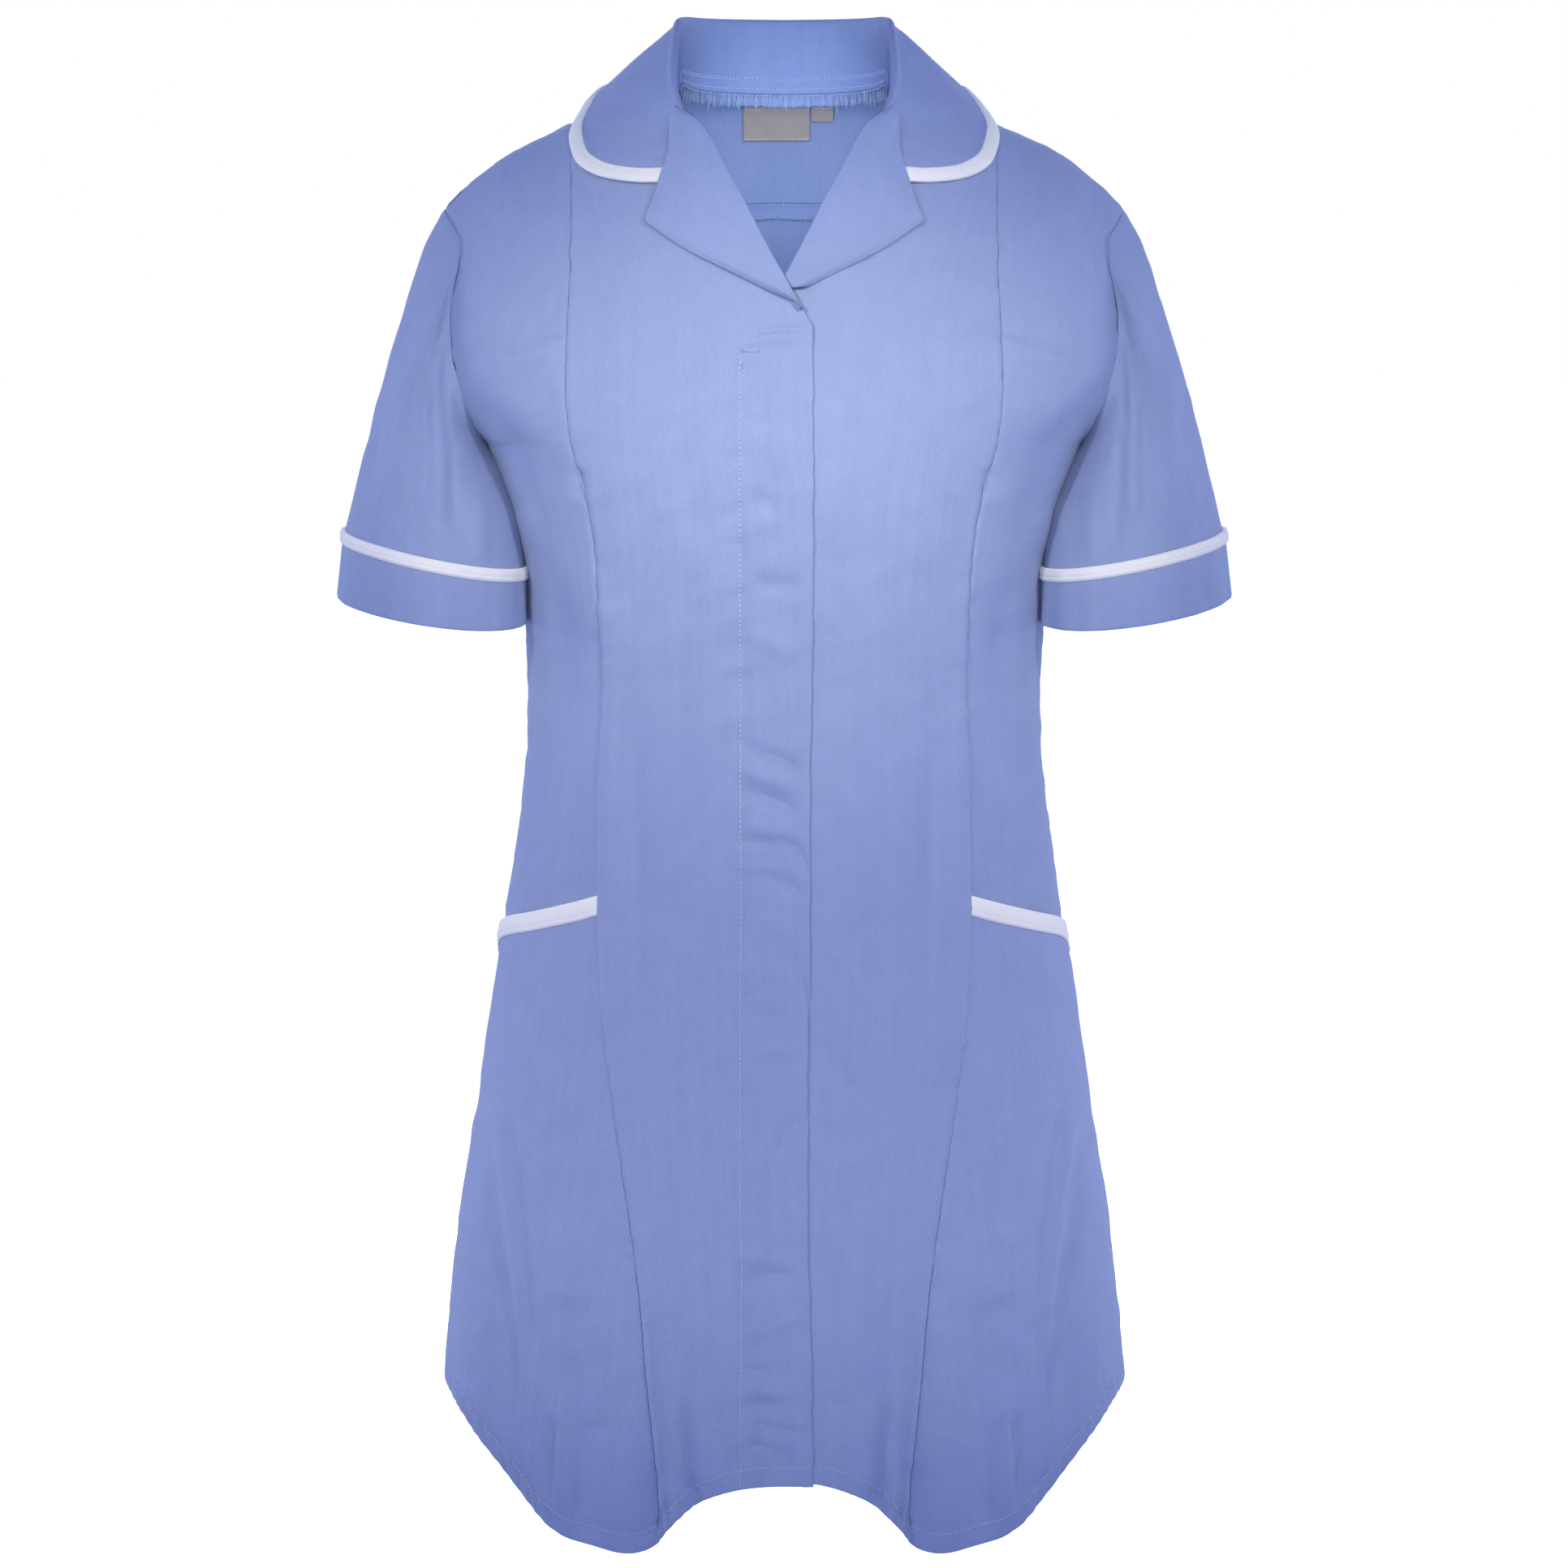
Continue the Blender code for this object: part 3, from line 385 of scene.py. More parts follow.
def fold_height(side, x, z):
    height = 0.0 * x
    for top_x, top, low_x, low, half, rise in FRONT_FOLDS if side < 0 else BACK_FOLDS:
        along = np.clip((top - z) / (top - low), 0.0, 1.2)
        middle = top_x + (low_x - top_x) * along
        height = height + rise * ease(along) * bell(np.abs(x) - middle, half)
    return height


def crease_height(table, x, z):
    """Height that a table of creases adds at these places."""
    total = 0.0 * (x + z)
    for shape, half, rise, path in table:
        path = np.asarray(path, float)
        starts = lengths(path)
        near, along = np.full(total.shape, np.inf), np.zeros(total.shape)
        for first, last, start, end in zip(path[:-1], path[1:], starts[:-1], starts[1:]):
            step = (last - first) / (end - start)
            ahead = (x - first[0]) * step[0] + (z - first[1]) * step[1]
            ahead = np.clip(ahead, 0.0, end - start)
            far = np.hypot(x - first[0] - step[0] * ahead, z - first[1] - step[1] * ahead)
            along = np.where(far < near, start + ahead, along)
            near = np.minimum(far, near)
        share = along / starts[-1]
        fade = ease(share * 4.0) * ease((1 - share) * 4.0)
        total = total + rise * fade * np.exp(-(near / half) ** shape)
    return total


def skin(side, angle, z, lift=0.0, table=None):
    """Outer face of the cloth on the torso, with its folds and creases, moved out by lift."""
    points = bare_torso(side, angle, z)
    x = points[..., 0]
    if table is None:
        table = FRONT_CREASES if side < 0 else BACK_CREASES
    rise = fold_height(side, x, z) + crease_height(table, x, z) + lift
    turned = ease((np.abs(angle) - 0.9) / 0.6)
    under = zone(z, -0.208, 0.020, -0.320, 0.050)
    rise = rise + UNDERARM_FULLNESS * turned * under
    points = points + torso_normal(side, angle, z) * rise[..., None]
    points[..., 1] += side * SEAM / 2
    return points


def rows_between(top, bottom, shares):
    return top + (bottom - top) * np.asarray(shares)[:, None]


def level_rows(levels, columns):
    return np.repeat(np.asarray(levels)[:, None], columns, axis=1)


def seam_half_gap(z):
    return SEAM / 5 + FLARE_GAP / 8 * ease((FLARE_LEVEL - z) / FLARE_GAP_LENGTH)


def side_angle(z):
    """Angle of the armhole and, below it, of the side seam."""
    return np.where(z > UNDERARM, angle_of(smooth(ARMHOLE, z), z), math.pi / 2)


def seam_angle(z, share):
    """Angle at a share of the way from the princess seam to the armhole or side seam."""
    inner = angle_of(smooth(PRINCESS, z) + seam_half_gap(z), z)
    return inner + (side_angle(z) - inner) * share


def hem_under(place, hem, columns):
    """Level of the hem for each column, whose place across depends on its level."""
    z = np.full(columns, hem[0, 1])
    for _ in range(6):
        z = smooth(hem, place(z))
    return z


def wobble(at, size, seed):
    """Uneven soft wave of about this wavelength, from -1 to 1."""
    total = 0.0
    for index, (rate, weight) in enumerate(((1.0, 0.5), (1.63, 0.3), (2.71, 0.2))):
        total = total + weight * np.sin(2 * math.pi * rate * at / size + seed * (index + 1.7))
    return total


# Camera of the photograph
PIXEL = 0.000476
DISTANCE = 3.5
ELEVATION = math.radians(5.0)
CENTRE_PIXEL = 966
CENTRE_LEVEL = -0.4122
LENS = 137.0

LOOK = np.array((0.0, math.cos(ELEVATION), -math.sin(ELEVATION)))
ABOVE = np.array((0.0, math.sin(ELEVATION), math.cos(ELEVATION)))
EYE = np.array((0.0, 0.0, CENTRE_LEVEL)) - DISTANCE * LOOK


def from_photo(px, py, depth=None):
    """Place across and level of what the photograph shows at a pixel, on the torso's front."""
    ray = LOOK + np.array((1.0, 0.0, 0.0)) * (px - CENTRE_PIXEL) * PIXEL / DISTANCE
    ray = ray + ABOVE * (CENTRE_PIXEL - py) * PIXEL / DISTANCE
    y = -0.08 if depth is None else depth
    for _ in range(8):
        spot = EYE + ray * (y - EYE[1]) / ray[1]
        if depth is None:
            y = float(bare_torso(-1, angle_of(spot[0], spot[2]), spot[2])[1])
    return spot[0], spot[2]


def creases(rows, depth=None, mirror=False, strength=1.0):
    """Creases read off the photograph, as crease_height takes them."""
    made = []
    for shape, half, rise, *path in rows:
        places = [from_photo(2 * CENTRE_PIXEL - px if mirror else px, py, depth)
                  for px, py in zip(path[::2], path[1::2])]
        made.append((shape, half / 1000, rise * strength / 1000, places))
    return made


# Creases: shape of the section, half width and height in mm, and a path of pixels
CRISP, SOFT = 1, 2
# Both halves of the front
SIDE_MARKS = (
    (CRISP, 1.1, -1.4, 699, 414, 668, 422, 645, 431, 622, 444),
    (SOFT, 7.0, 0.7, 690, 430, 660, 440, 632, 452),
    (SOFT, 6.0, -0.5, 614, 552, 632, 590, 648, 640),
    (SOFT, 5.0, 1.6, 585, 500, 622, 552, 652, 640, 660, 690),
    (SOFT, 4.5, -1.1, 712, 575, 713, 615), (SOFT, 4.0, 0.9, 703, 298, 690, 322),
    (SOFT, 9.0, 1.5, 752, 850, 752, 1090, 758, 1340),
    (SOFT, 7.0, -1.1, 783, 880, 782, 1100, 788, 1330),
    (SOFT, 6.0, -2.0, 604, 1370, 619, 1533, 631, 1636, 633, 1770),
    (SOFT, 6.0, 1.7, 616, 1340, 628, 1480, 640, 1620, 640, 1730),
    (SOFT, 5.0, -1.2, 628, 1310, 638, 1478, 650, 1616, 650, 1725),
    (CRISP, 2.6, -1.9, 685, 1735, 676, 1794, 671, 1860),
    (SOFT, 5.5, 1.5, 700, 1690, 692, 1790, 690, 1880), (SOFT, 13.0, 1.6, 706, 1500, 712, 1620),
    (SOFT, 2.4, -0.9, 757, 1530, 782, 1535), (SOFT, 2.4, -0.9, 759, 1549, 782, 1556),
    (SOFT, 1.6, -0.7, 700, 1760, 740, 1756, 787, 1756),
    (SOFT, 6.0, -1.5, 806, 1800, 819, 1850, 822, 1895), (SOFT, 8.0, 1.6, 850, 1700, 858, 1850),
    (SOFT, 10.0, 1.0, 655, 700, 664, 820, 662, 940),
    (SOFT, 8.0, -0.9, 690, 700, 698, 840, 694, 980),
)
# Right front and its lap
LAP_MARKS = (
    (CRISP, 1.5, -1.4, 912, 421, 947, 407, 974, 405, 1000, 404),
    (SOFT, 4.0, 1.2, 905, 428, 947, 415, 990, 412),
    (SOFT, 5.0, -0.8, 926, 430, 930, 480, 928, 540),
    (SOFT, 6.0, 0.8, 952, 440, 958, 520, 956, 600),
    (SOFT, 5.0, -0.9, 918, 606, 935, 616, 958, 634),
    (SOFT, 5.0, -0.9, 920, 712, 950, 722, 992, 722),
    (SOFT, 5.5, 0.8, 918, 782, 945, 790, 985, 812),
    (SOFT, 4.5, -1.2, 902, 912, 935, 930, 965, 940, 994, 962),
    (SOFT, 4.0, 1.0, 908, 943, 935, 957, 980, 974),
    (SOFT, 4.5, -1.2, 908, 972, 945, 985, 990, 1006),
    (SOFT, 5.0, 1.1, 905, 1010, 945, 1022, 992, 1030),
    (SOFT, 2.5, -1.1, 910, 1042, 930, 1036, 954, 1040),
    (SOFT, 3.0, -1.2, 962, 1030, 984, 1052, 996, 1082),
    (SOFT, 4.5, 1.0, 905, 1074, 935, 1070, 970, 1080),
    (SOFT, 4.0, -1.2, 930, 1070, 965, 1088, 994, 1114),
    (SOFT, 3.0, -1.3, 914, 1095, 920, 1145, 932, 1196),
    (SOFT, 5.0, 0.9, 936, 1124, 965, 1150, 992, 1154),
    (SOFT, 3.0, -1.3, 906, 1240, 930, 1226, 956, 1204),
    (SOFT, 3.0, -1.1, 972, 1172, 988, 1215, 992, 1258),
    (SOFT, 4.0, -1.0, 905, 1266, 930, 1252, 962, 1258),
    (SOFT, 5.0, 1.0, 920, 1302, 955, 1292, 990, 1302),
    (SOFT, 5.0, -1.2, 996, 1366, 975, 1395, 944, 1460),
    (SOFT, 4.0, 0.9, 912, 1396, 935, 1440, 928, 1506),
    (CRISP, 1.6, -0.9, 936, 1534, 965, 1541, 998, 1540),
    (SOFT, 4.5, 1.0, 908, 1554, 935, 1550, 970, 1557),
    (SOFT, 5.0, -1.2, 910, 1588, 950, 1574, 996, 1581),
    (SOFT, 5.0, 1.0, 908, 1642, 940, 1640, 990, 1616),
    (SOFT, 3.0, -1.1, 908, 1703, 925, 1692, 950, 1689),
    (SOFT, 4.0, 1.0, 920, 1711, 955, 1716, 994, 1711),
    (SOFT, 2.5, -1.2, 906, 1736, 935, 1730, 966, 1735),
    (CRISP, 1.8, -1.5, 922, 1755, 959, 1763, 1006, 1770),
    (SOFT, 4.5, -1.3, 910, 1780, 945, 1790, 986, 1808),
    (SOFT, 7.0, -0.9, 905, 560, 902, 760, 904, 900),
    (SOFT, 9.0, 0.9, 880, 620, 872, 900, 880, 1200),
)
# Left front beside the lap
UNDER_MARKS = (
    (SOFT, 6.0, -1.0, 1012, 620, 1030, 760, 1022, 900),
    (SOFT, 7.0, 0.9, 1010, 960, 1040, 990, 1060, 1030),
    (SOFT, 6.0, -0.9, 1006, 1280, 1030, 1310, 1050, 1360),
    (SOFT, 7.0, 0.9, 1008, 1490, 1030, 1530, 1040, 1600),
    (SOFT, 6.0, -0.9, 1010, 1720, 1040, 1736, 1070, 1760),
)
# Front of a sleeve, drawn on the wearer's right one
SLEEVE_MARKS = (
    (SOFT, 4.0, -1.8, 462, 520, 458, 560, 450, 610),
    (SOFT, 4.0, 1.5, 484, 420, 494, 540, 493, 640),
    (SOFT, 5.0, -2.0, 516, 430, 526, 560, 524, 670),
    (SOFT, 4.0, 1.2, 541, 460, 543, 560, 540, 660),
    (SOFT, 3.5, -1.1, 556, 520, 560, 600, 566, 680),
    (SOFT, 5.0, 1.1, 585, 590, 592, 650, 590, 700),
    (SOFT, 3.0, -0.9, 436, 625, 446, 655, 456, 672), (SOFT, 1.6, -0.9, 507, 664, 508, 700),
    (SOFT, 1.6, -0.9, 530, 662, 531, 700), (SOFT, 6.0, 0.8, 531, 300, 524, 340, 512, 392),
)
# Back, which is not seen
BACK_MARKS = (
    (SOFT, 8.0, 1.6, 966, 300, 960, 520, 966, 760),
    (SOFT, 10.0, -1.5, 880, 420, 870, 640, 880, 860),
    (SOFT, 10.0, 1.5, 800, 480, 790, 700, 800, 980),
    (SOFT, 8.0, -1.6, 1050, 380, 1062, 620, 1054, 900),
    (SOFT, 9.0, 1.5, 1140, 460, 1150, 720, 1140, 1010),
    (SOFT, 6.0, -1.8, 720, 520, 700, 600, 690, 700),
    (SOFT, 6.0, 1.7, 1212, 520, 1232, 610, 1240, 700),
    (SOFT, 9.0, 1.8, 700, 1150, 710, 1400, 690, 1680),
    (SOFT, 9.0, -1.8, 1220, 1120, 1210, 1400, 1236, 1700),
    (SOFT, 6.0, -1.0, 860, 1250, 930, 1270, 1000, 1262),
    (SOFT, 7.0, 1.0, 940, 1380, 1010, 1390, 1080, 1372),
    (SOFT, 4.0, -1.2, 940, 250, 938, 330, 944, 420),
    (SOFT, 4.0, 1.1, 989, 250, 992, 330, 986, 430),
)

SIDES = creases(SIDE_MARKS, strength=2.2) + creases(SIDE_MARKS, mirror=True, strength=2.2)
FRONT_CREASES = SIDES + creases(LAP_MARKS, strength=1.9)
UNDER_CREASES = SIDES + creases(UNDER_MARKS, strength=2.0)
BACK_CREASES = creases(BACK_MARKS, depth=0.09, strength=2.4)
SLEEVE_CREASES = creases(SLEEVE_MARKS, depth=-0.06, strength=1.25)


def unevenness(x, z):
    """Slight wave of the cloth all over."""
    slow = wobble(x + 0.35 * z, 0.105, 1.3) * wobble(z - 0.2 * x, 0.150, 0.6)
    quick = wobble(x - 0.5 * z, 0.047, 2.1) * wobble(z + 0.3 * x, 0.062, 4.0)
    return 0.0014 * slow + 0.0008 * quick


def outward(points, flip, closed=False):
    """Unit normals that point out of the garment."""
    down = np.gradient(points, axis=0)
    if closed:
        across = np.roll(points, -1, axis=1) - np.roll(points, 1, axis=1)
    else:
        across = np.gradient(points, axis=1)
    normal = unit(np.cross(down, across))
    return -normal if flip else normal


def as_cloth(points, flip, closed=False):
    return joined(points, outward(points, flip, closed))


def raised(cloth, rise, flip, closed=False):
    return as_cloth(cloth[..., :3] + cloth[..., 3:] * rise[..., None], flip, closed)


def from_edge(cloth, edge):
    """The cloth turned so that an edge is its last row."""
    if edge in ("left", "right"):
        cloth = np.swapaxes(cloth, 0, 1)
    return cloth[::-1] if edge in ("left", "top") else cloth


def to_edge(cloth, edge):
    """Turns back what from_edge has turned."""
    cloth = cloth[::-1] if edge in ("left", "top") else cloth
    return np.swapaxes(cloth, 0, 1) if edge in ("left", "right") else cloth


def inset(cloth, edge, distance):
    """Line on the cloth at this distance, along the cloth, from one of its edges."""
    rows = from_edge(cloth, edge)[::-1]
    length = lengths(rows)
    low = np.clip((length <= distance).sum(axis=0) - 1, 0, len(length) - 2)
    at = np.arange(rows.shape[1])
    leg = np.maximum(length[low + 1, at] - length[low, at], 1e-9)
    share = (distance - length[low, at]) / leg
    return rows[low, at] + (rows[low + 1, at] - rows[low, at]) * share[:, None]


def edge_distance(cloth, edge):
    return to_edge(lengths(from_edge(cloth, edge)[::-1])[::-1], edge)


def past_edge(rows):
    """Last row's points, its normals and the way on past it."""
    return rows[-1, :, :3], rows[-1, :, 3:], unit(rows[-1, :, :3] - rows[-2, :, :3])


ROLL_ANGLES = np.radians((35.0, 70.0, 110.0, 145.0, 180.0))
# Allowance under the next piece: share of its reach, depth
UNDER_STEPS = ((0.0, 0.0004), (0.3, 0.0009), (0.6, 0.0015), (1.0, 0.0022))


def folded(cloth, edge, radius=FOLD_RADIUS, tails=(0.002, 0.005)):
    """Turns the cloth under at an edge, with a rounded fold."""
    rows = from_edge(cloth, edge)
    place, normal, ahead = past_edge(rows)
    more = [joined(place + ahead * radius * math.sin(turn)
                   - normal * radius * (1 - math.cos(turn)), normal) for turn in ROLL_ANGLES]
    for tail in tails:
        line = inset(cloth, edge, tail)
        more.append(joined(line[:, :3] - line[:, 3:] * 2 * radius, line[:, 3:]))
    return to_edge(np.concatenate((rows, np.stack(more))), edge)


def turned_in(cloth, *edges, depth=0.0012, under=0.0):
    """Turns the seam allowances in at these edges, and under the pieces beside them."""
    for edge in edges:
        rows = from_edge(cloth, edge)
        place, normal, ahead = past_edge(rows)
        more = [joined(place - normal * sink + ahead * under * out, normal)
                for out, sink in (UNDER_STEPS if under else ((0.0, depth),))]
        cloth = to_edge(np.concatenate((rows, np.stack(more))), edge)
    return cloth


def seamed(cloth, flip, seams, closed=False, seed=0.0):
    """Presses the cloth in at its seams, with small uneven ripples beside them.

    A seam is an edge, the height of the cloth beside it and its depth, in millimetres.
    """
    rise = np.zeros(cloth.shape[:2])
    for edge, proud, press in seams:
        away = edge_distance(cloth, edge)
        along = cloth[..., 2] if edge in ("left", "right") else cloth[..., 0]
        ripple = wobble(along, RIPPLE_LENGTH, seed + proud) * np.exp(-away / RIPPLE_REACH)
        rise = rise - press * 0.001 * bell(away, GROOVE_HALF) + ripple * RIPPLE_HEIGHT
        rise = rise + proud * 0.001 * bell(away - SWELL_PLACE, SWELL_HALF)
    return raised(cloth, rise, flip, closed)


def seam_shares(width, step=STEP, near=(0.0004, 0.0009, 0.0016, 0.0025)):
    """Shares across a piece, closer together at its two edges."""
    near = np.asarray(near) / width
    count = max(3, int(round((width - 2 * EDGE_ZONE) / step)))
    middle = np.linspace(EDGE_ZONE / width, 1 - EDGE_ZONE / width, count)
    return np.concatenate(((0.0,), near, middle, 1 - near[::-1], (1.0,)))


# Rows below the shoulder ridge, closer together at the ridge
RIDGE_SHARES = np.linspace(0.0, 1.0, 27)[:-1] ** 2


def levels(top, bottom, step=STEP, fine=()):
    """Levels about a step apart, closer together where the creases are sharp."""
    made = [np.linspace(top, bottom, int(round((top - bottom) / step)) + 1)]
    for high, low in fine:
        made[0] = made[0][(made[0] > high) | (made[0] < low)]
        made.append(np.linspace(high, low, int(round((high - low) / 0.0010)) + 1))
    return np.sort(np.concatenate(made))[::-1]


DART_LEVELS = (-0.138, -0.168)
LAP_LEVELS = (-0.136, -0.158)


def torso_x(side, angle, z):
    return bare_torso(side, angle, z)[..., 0]


def skirt_rows(upper, level, step, fine, bottom, count):
    """Upper rows, level rows down to the flare, and rows from there to the hem."""
    middle = level_rows(levels(level, FLARE_LEVEL, step, fine), len(bottom))
    return np.concatenate((upper, middle, rows_between(
        FLARE_LEVEL, bottom, np.linspace(0.0, 1.0, count)[1:])))


def side_front_rows(share):
    top = smooth(SHOULDER, torso_x(-1, seam_angle(0 * share, share), 0 * share))
    z = np.concatenate((
        rows_between(top, LEVEL_TOP, RIDGE_SHARES),
        level_rows(levels(LEVEL_TOP, BAG_BOTTOM, fine=(DART_LEVELS,)), len(share)),
    ))
    return z, seam_angle(z, share)


def side_front_lift(z, share):
    """Sinks the side front behind the pocket, from just above its mouth."""
    behind = ease((smooth(MOUTH, share) + BAG_START - z) / BAG_BLEND)
    return -behind * (BAG_DEPTH + BAG_MORE * np.sin(math.pi * share))


def pocket_lift(share):
    """Bulge of a pocket's outer layer."""
    return POCKET_BULGE * np.sin(math.pi * share ** POCKET_LEAN)


def pocket_rows(share):
    bottom = hem_under(lambda z: torso_x(-1, seam_angle(z, share), z), HEM_FRONT, len(share))
    shares = np.linspace(0.0, 1.0, MOUTH_ROWS)[:-1]
    upper = rows_between(smooth(MOUTH, share), MOUTH_LEVEL, shares)
    z = skirt_rows(upper, MOUTH_LEVEL, STEP, (), bottom, FRONT_SKIRT_ROWS)
    return z, seam_angle(z, share)


def front_place(z, share, own_edge):
    """Place across at a share of the way from the princess seam to the front's edge."""
    seam = smooth(PRINCESS, z) - seam_half_gap(z)
    return seam + (own_edge(z) - seam) * share


def right_edge(z):
    """The right front's edge: its roll line above, a slightly uneven edge below."""
    wave = (0.0004 * wobble(z, 0.047, 2.0) + 0.0002 * wobble(z, 0.019, 1.0)) * ease(
        (ROLL[-1, 0] - z) / 0.020)
    return np.where(z > ROLL[-1, 0], smooth(ROLL, z), wave - smooth(EDGE, z))


def left_edge(z):
    """The left front's edge: its roll line above, behind the lap below."""
    past = -FRONT_LAP * ease((ROLL[-1, 0] + LAP_ABOVE - z) / LAP_OPENING)
    return np.where(z > ROLL[-1, 0], smooth(ROLL, z), np.minimum(ROLL[-1, 1], past))


def front_rows(share, own_edge, hem_rise):
    x = smooth(PRINCESS, 0.0 * share)
    x = x + (NECK_HALF - x) * share
    bottom = hem_under(lambda z: front_place(z, share, own_edge), HEM_FRONT, len(share))
    bottom = bottom + hem_rise * ease(share)
    upper = rows_between(smooth(SHOULDER, x), LEVEL_TOP, RIDGE_SHARES)
    z = skirt_rows(upper, LEVEL_TOP, FRONT_STEP, (LAP_LEVELS,), bottom, FRONT_SKIRT_ROWS)
    return z, front_place(z, share, own_edge)


def lap_lift(z, distance):
    """Sinks the left front and its lapel behind the lap of the right one."""
    upper = -right_edge(z)
    drop = LAP_DROP * (1 - LAP_EASED * ease((-0.146 - z) / 0.020))
    return -drop * ease((upper + LAP_BLEND - distance) / LAP_BLEND)


def lapel_lift(z, share):
    lift = LAYER + LAPEL_GAP + LAPEL_BULGE * np.sin(math.pi * share)
    for level, blend, height in LAPEL_LIFTS:
        lift = lift + height * ease((z - level) / blend)
    return lift


def lapel_rows(heights, share, inner):
    z = level_rows(heights, len(share))
    outer = smooth(LAPEL, z)
    inner = np.minimum(inner(z), outer - 0.0015)
    return z, outer + (inner - outer) * share


def roll_place(z):
    return smooth(ROLL, z)


def left_lapel_inner(z):
    """Inner edge of the left lapel, which ends where the right front crosses it."""
    return np.maximum(roll_place(z), -roll_place(z) + PIN)


def back_angle(z, share):
    return side_angle(z) * share


def yoke_seam(share):
    return YOKE_CENTRE + (YOKE_SIDE - YOKE_CENTRE) * ease(np.abs(share))


def yoke_rows(share):
    """Yoke from the shoulder ridge and the back neckline down to its seam."""
    across = np.abs(share)
    turn = np.sin(np.clip(across / NECK_SHARE, 0.0, 1.0) * math.pi / 2)
    past = np.clip((across - NECK_SHARE) / (1 - NECK_SHARE), 0.0, 1.0)
    top_x = NECK_HALF * turn + (SHOULDER_HALF - NECK_HALF) * past
    depth = np.where(past > 0, 0.0, smooth(BACK_NECK, top_x))
    ridge = smooth(SHOULDER, top_x)
    full = smooth(TORSO, ridge, 3) * np.cos(angle_of(top_x, ridge)) ** (2 / TORSO[0, 4])
    drop = ROUND_BACK * (1 - np.sqrt(1 - np.clip(depth / full, 0.0, 1.0) ** 2))
    low = yoke_seam(share) + SEAM
    low_x = np.abs(torso_x(1, back_angle(low, share), low))
    shares = np.concatenate((RIDGE_SHARES, (1.0,)))
    x = top_x + (low_x - top_x) * ease(np.linspace(0.0, 1.0, len(shares)))[:, None]
    z = smooth(SHOULDER, x) - rows_between(drop, smooth(SHOULDER, low_x) - low, shares)
    side = across >= 1.0
    z = np.where(side, rows_between(ridge, low, shares), z)
    x = np.where(side, smooth(ARMHOLE, z), x)
    return z, angle_of(x * np.sign(share), z)


def back_rows(share):
    bottom = hem_under(lambda z: torso_x(1, back_angle(z, np.abs(share)), z), HEM_BACK, len(share))
    shares = np.linspace(0.0, 1.0, BACK_TOP_ROWS)[:-1]
    upper = rows_between(yoke_seam(share) - SEAM, BACK_LEVEL, shares)
    z = skirt_rows(upper, BACK_LEVEL, BACK_STEP, (), bottom, BACK_SKIRT_ROWS)
    return z, back_angle(z, share)


def ring_point(ring, turn):
    """Point of a sleeve's ring: turn 0 is outside and a quarter of a turn is in front."""
    outer, inner = np.array(ring["outer"]), np.array(ring["inner"])
    middle, reach = (outer + inner) / 2, (outer - inner) / 2
    cosine, sine = np.cos(turn), np.sin(turn)
    x = middle[0] + reach[0] * cosine
    y = -ring["forward"] - ring["depth"] * sine
    z = middle[1] + reach[1] * cosine - ring["tilt"] * sine
    return np.stack((x, y, z), axis=-1)


HALF_TURN = 60
TURN = np.arange(2 * HALF_TURN) * math.pi / HALF_TURN


def evenly(points, count):
    """Points at even distances along a line."""
    length = lengths(points)
    return sample(np.linspace(0.0, length[-1], count), length, points)


def armhole_edge(side, find_rows, find_angle):
    """Points of the armhole down to the underarm along a piece, on the wearer's left."""
    end, low = np.array((1.0,)), np.array((UNDERARM,))
    z, angle = find_rows(end)
    keep = z[:, 0] >= UNDERARM
    return np.concatenate((bare_torso(side, angle[keep, 0], z[keep, 0]),
                           bare_torso(side, find_angle(low, end), low)))


def armhole_loop():
    """Points of the armhole on the wearer's left, down its front and up its back."""
    z, angle = yoke_rows(np.array((1.0,)))
    upper = bare_torso(1, angle[:, 0], z[:, 0])
    front = armhole_edge(-1, side_front_rows, seam_angle)
    back = np.concatenate((upper, armhole_edge(1, back_rows, back_angle)))[::-1]
    return np.concatenate([evenly(line, HALF_TURN + 1)[:-1] for line in (front, back)])


def leaving(turn):
    """Way in which the sleeve leaves the armhole."""
    names = ("outer", "front", "inner", "back", "outer")
    corners = np.array([SLEEVE_LEAVES[name] for name in names])
    keys = np.arange(5) * math.pi / 2
    parts = [np.interp(turn, keys, corners[:, axis]) for axis in range(3)]
    return unit(np.stack(parts, axis=-1))


def sleeve_rows(shares, cuff_shares):
    """Rings of the sleeve on the wearer's left, from the armhole to the cuff's bottom."""
    loop = armhole_loop()
    start = loop + np.array((0.0001, 0.0, 0.0))
    end, last = ring_point(SLEEVE_RING, TURN), ring_point(CUFF_RING, TURN)
    reach = np.linalg.norm(end - start, axis=1, keepdims=True) / 3
    first = start + leaving(TURN) * reach * LEAVE_REACH
    second = end - unit(unit(last - end) + unit(end - start)) * reach
    t = np.asarray(shares)[:, None, None]
    tube = (start * (1 - t) ** 3 + 3 * first * t * (1 - t) ** 2
            + 3 * second * t * t * (1 - t) + end * t ** 3)
    w = np.asarray(cuff_shares)[:, None, None]
    return np.concatenate((tube, end + (last - end) * w))


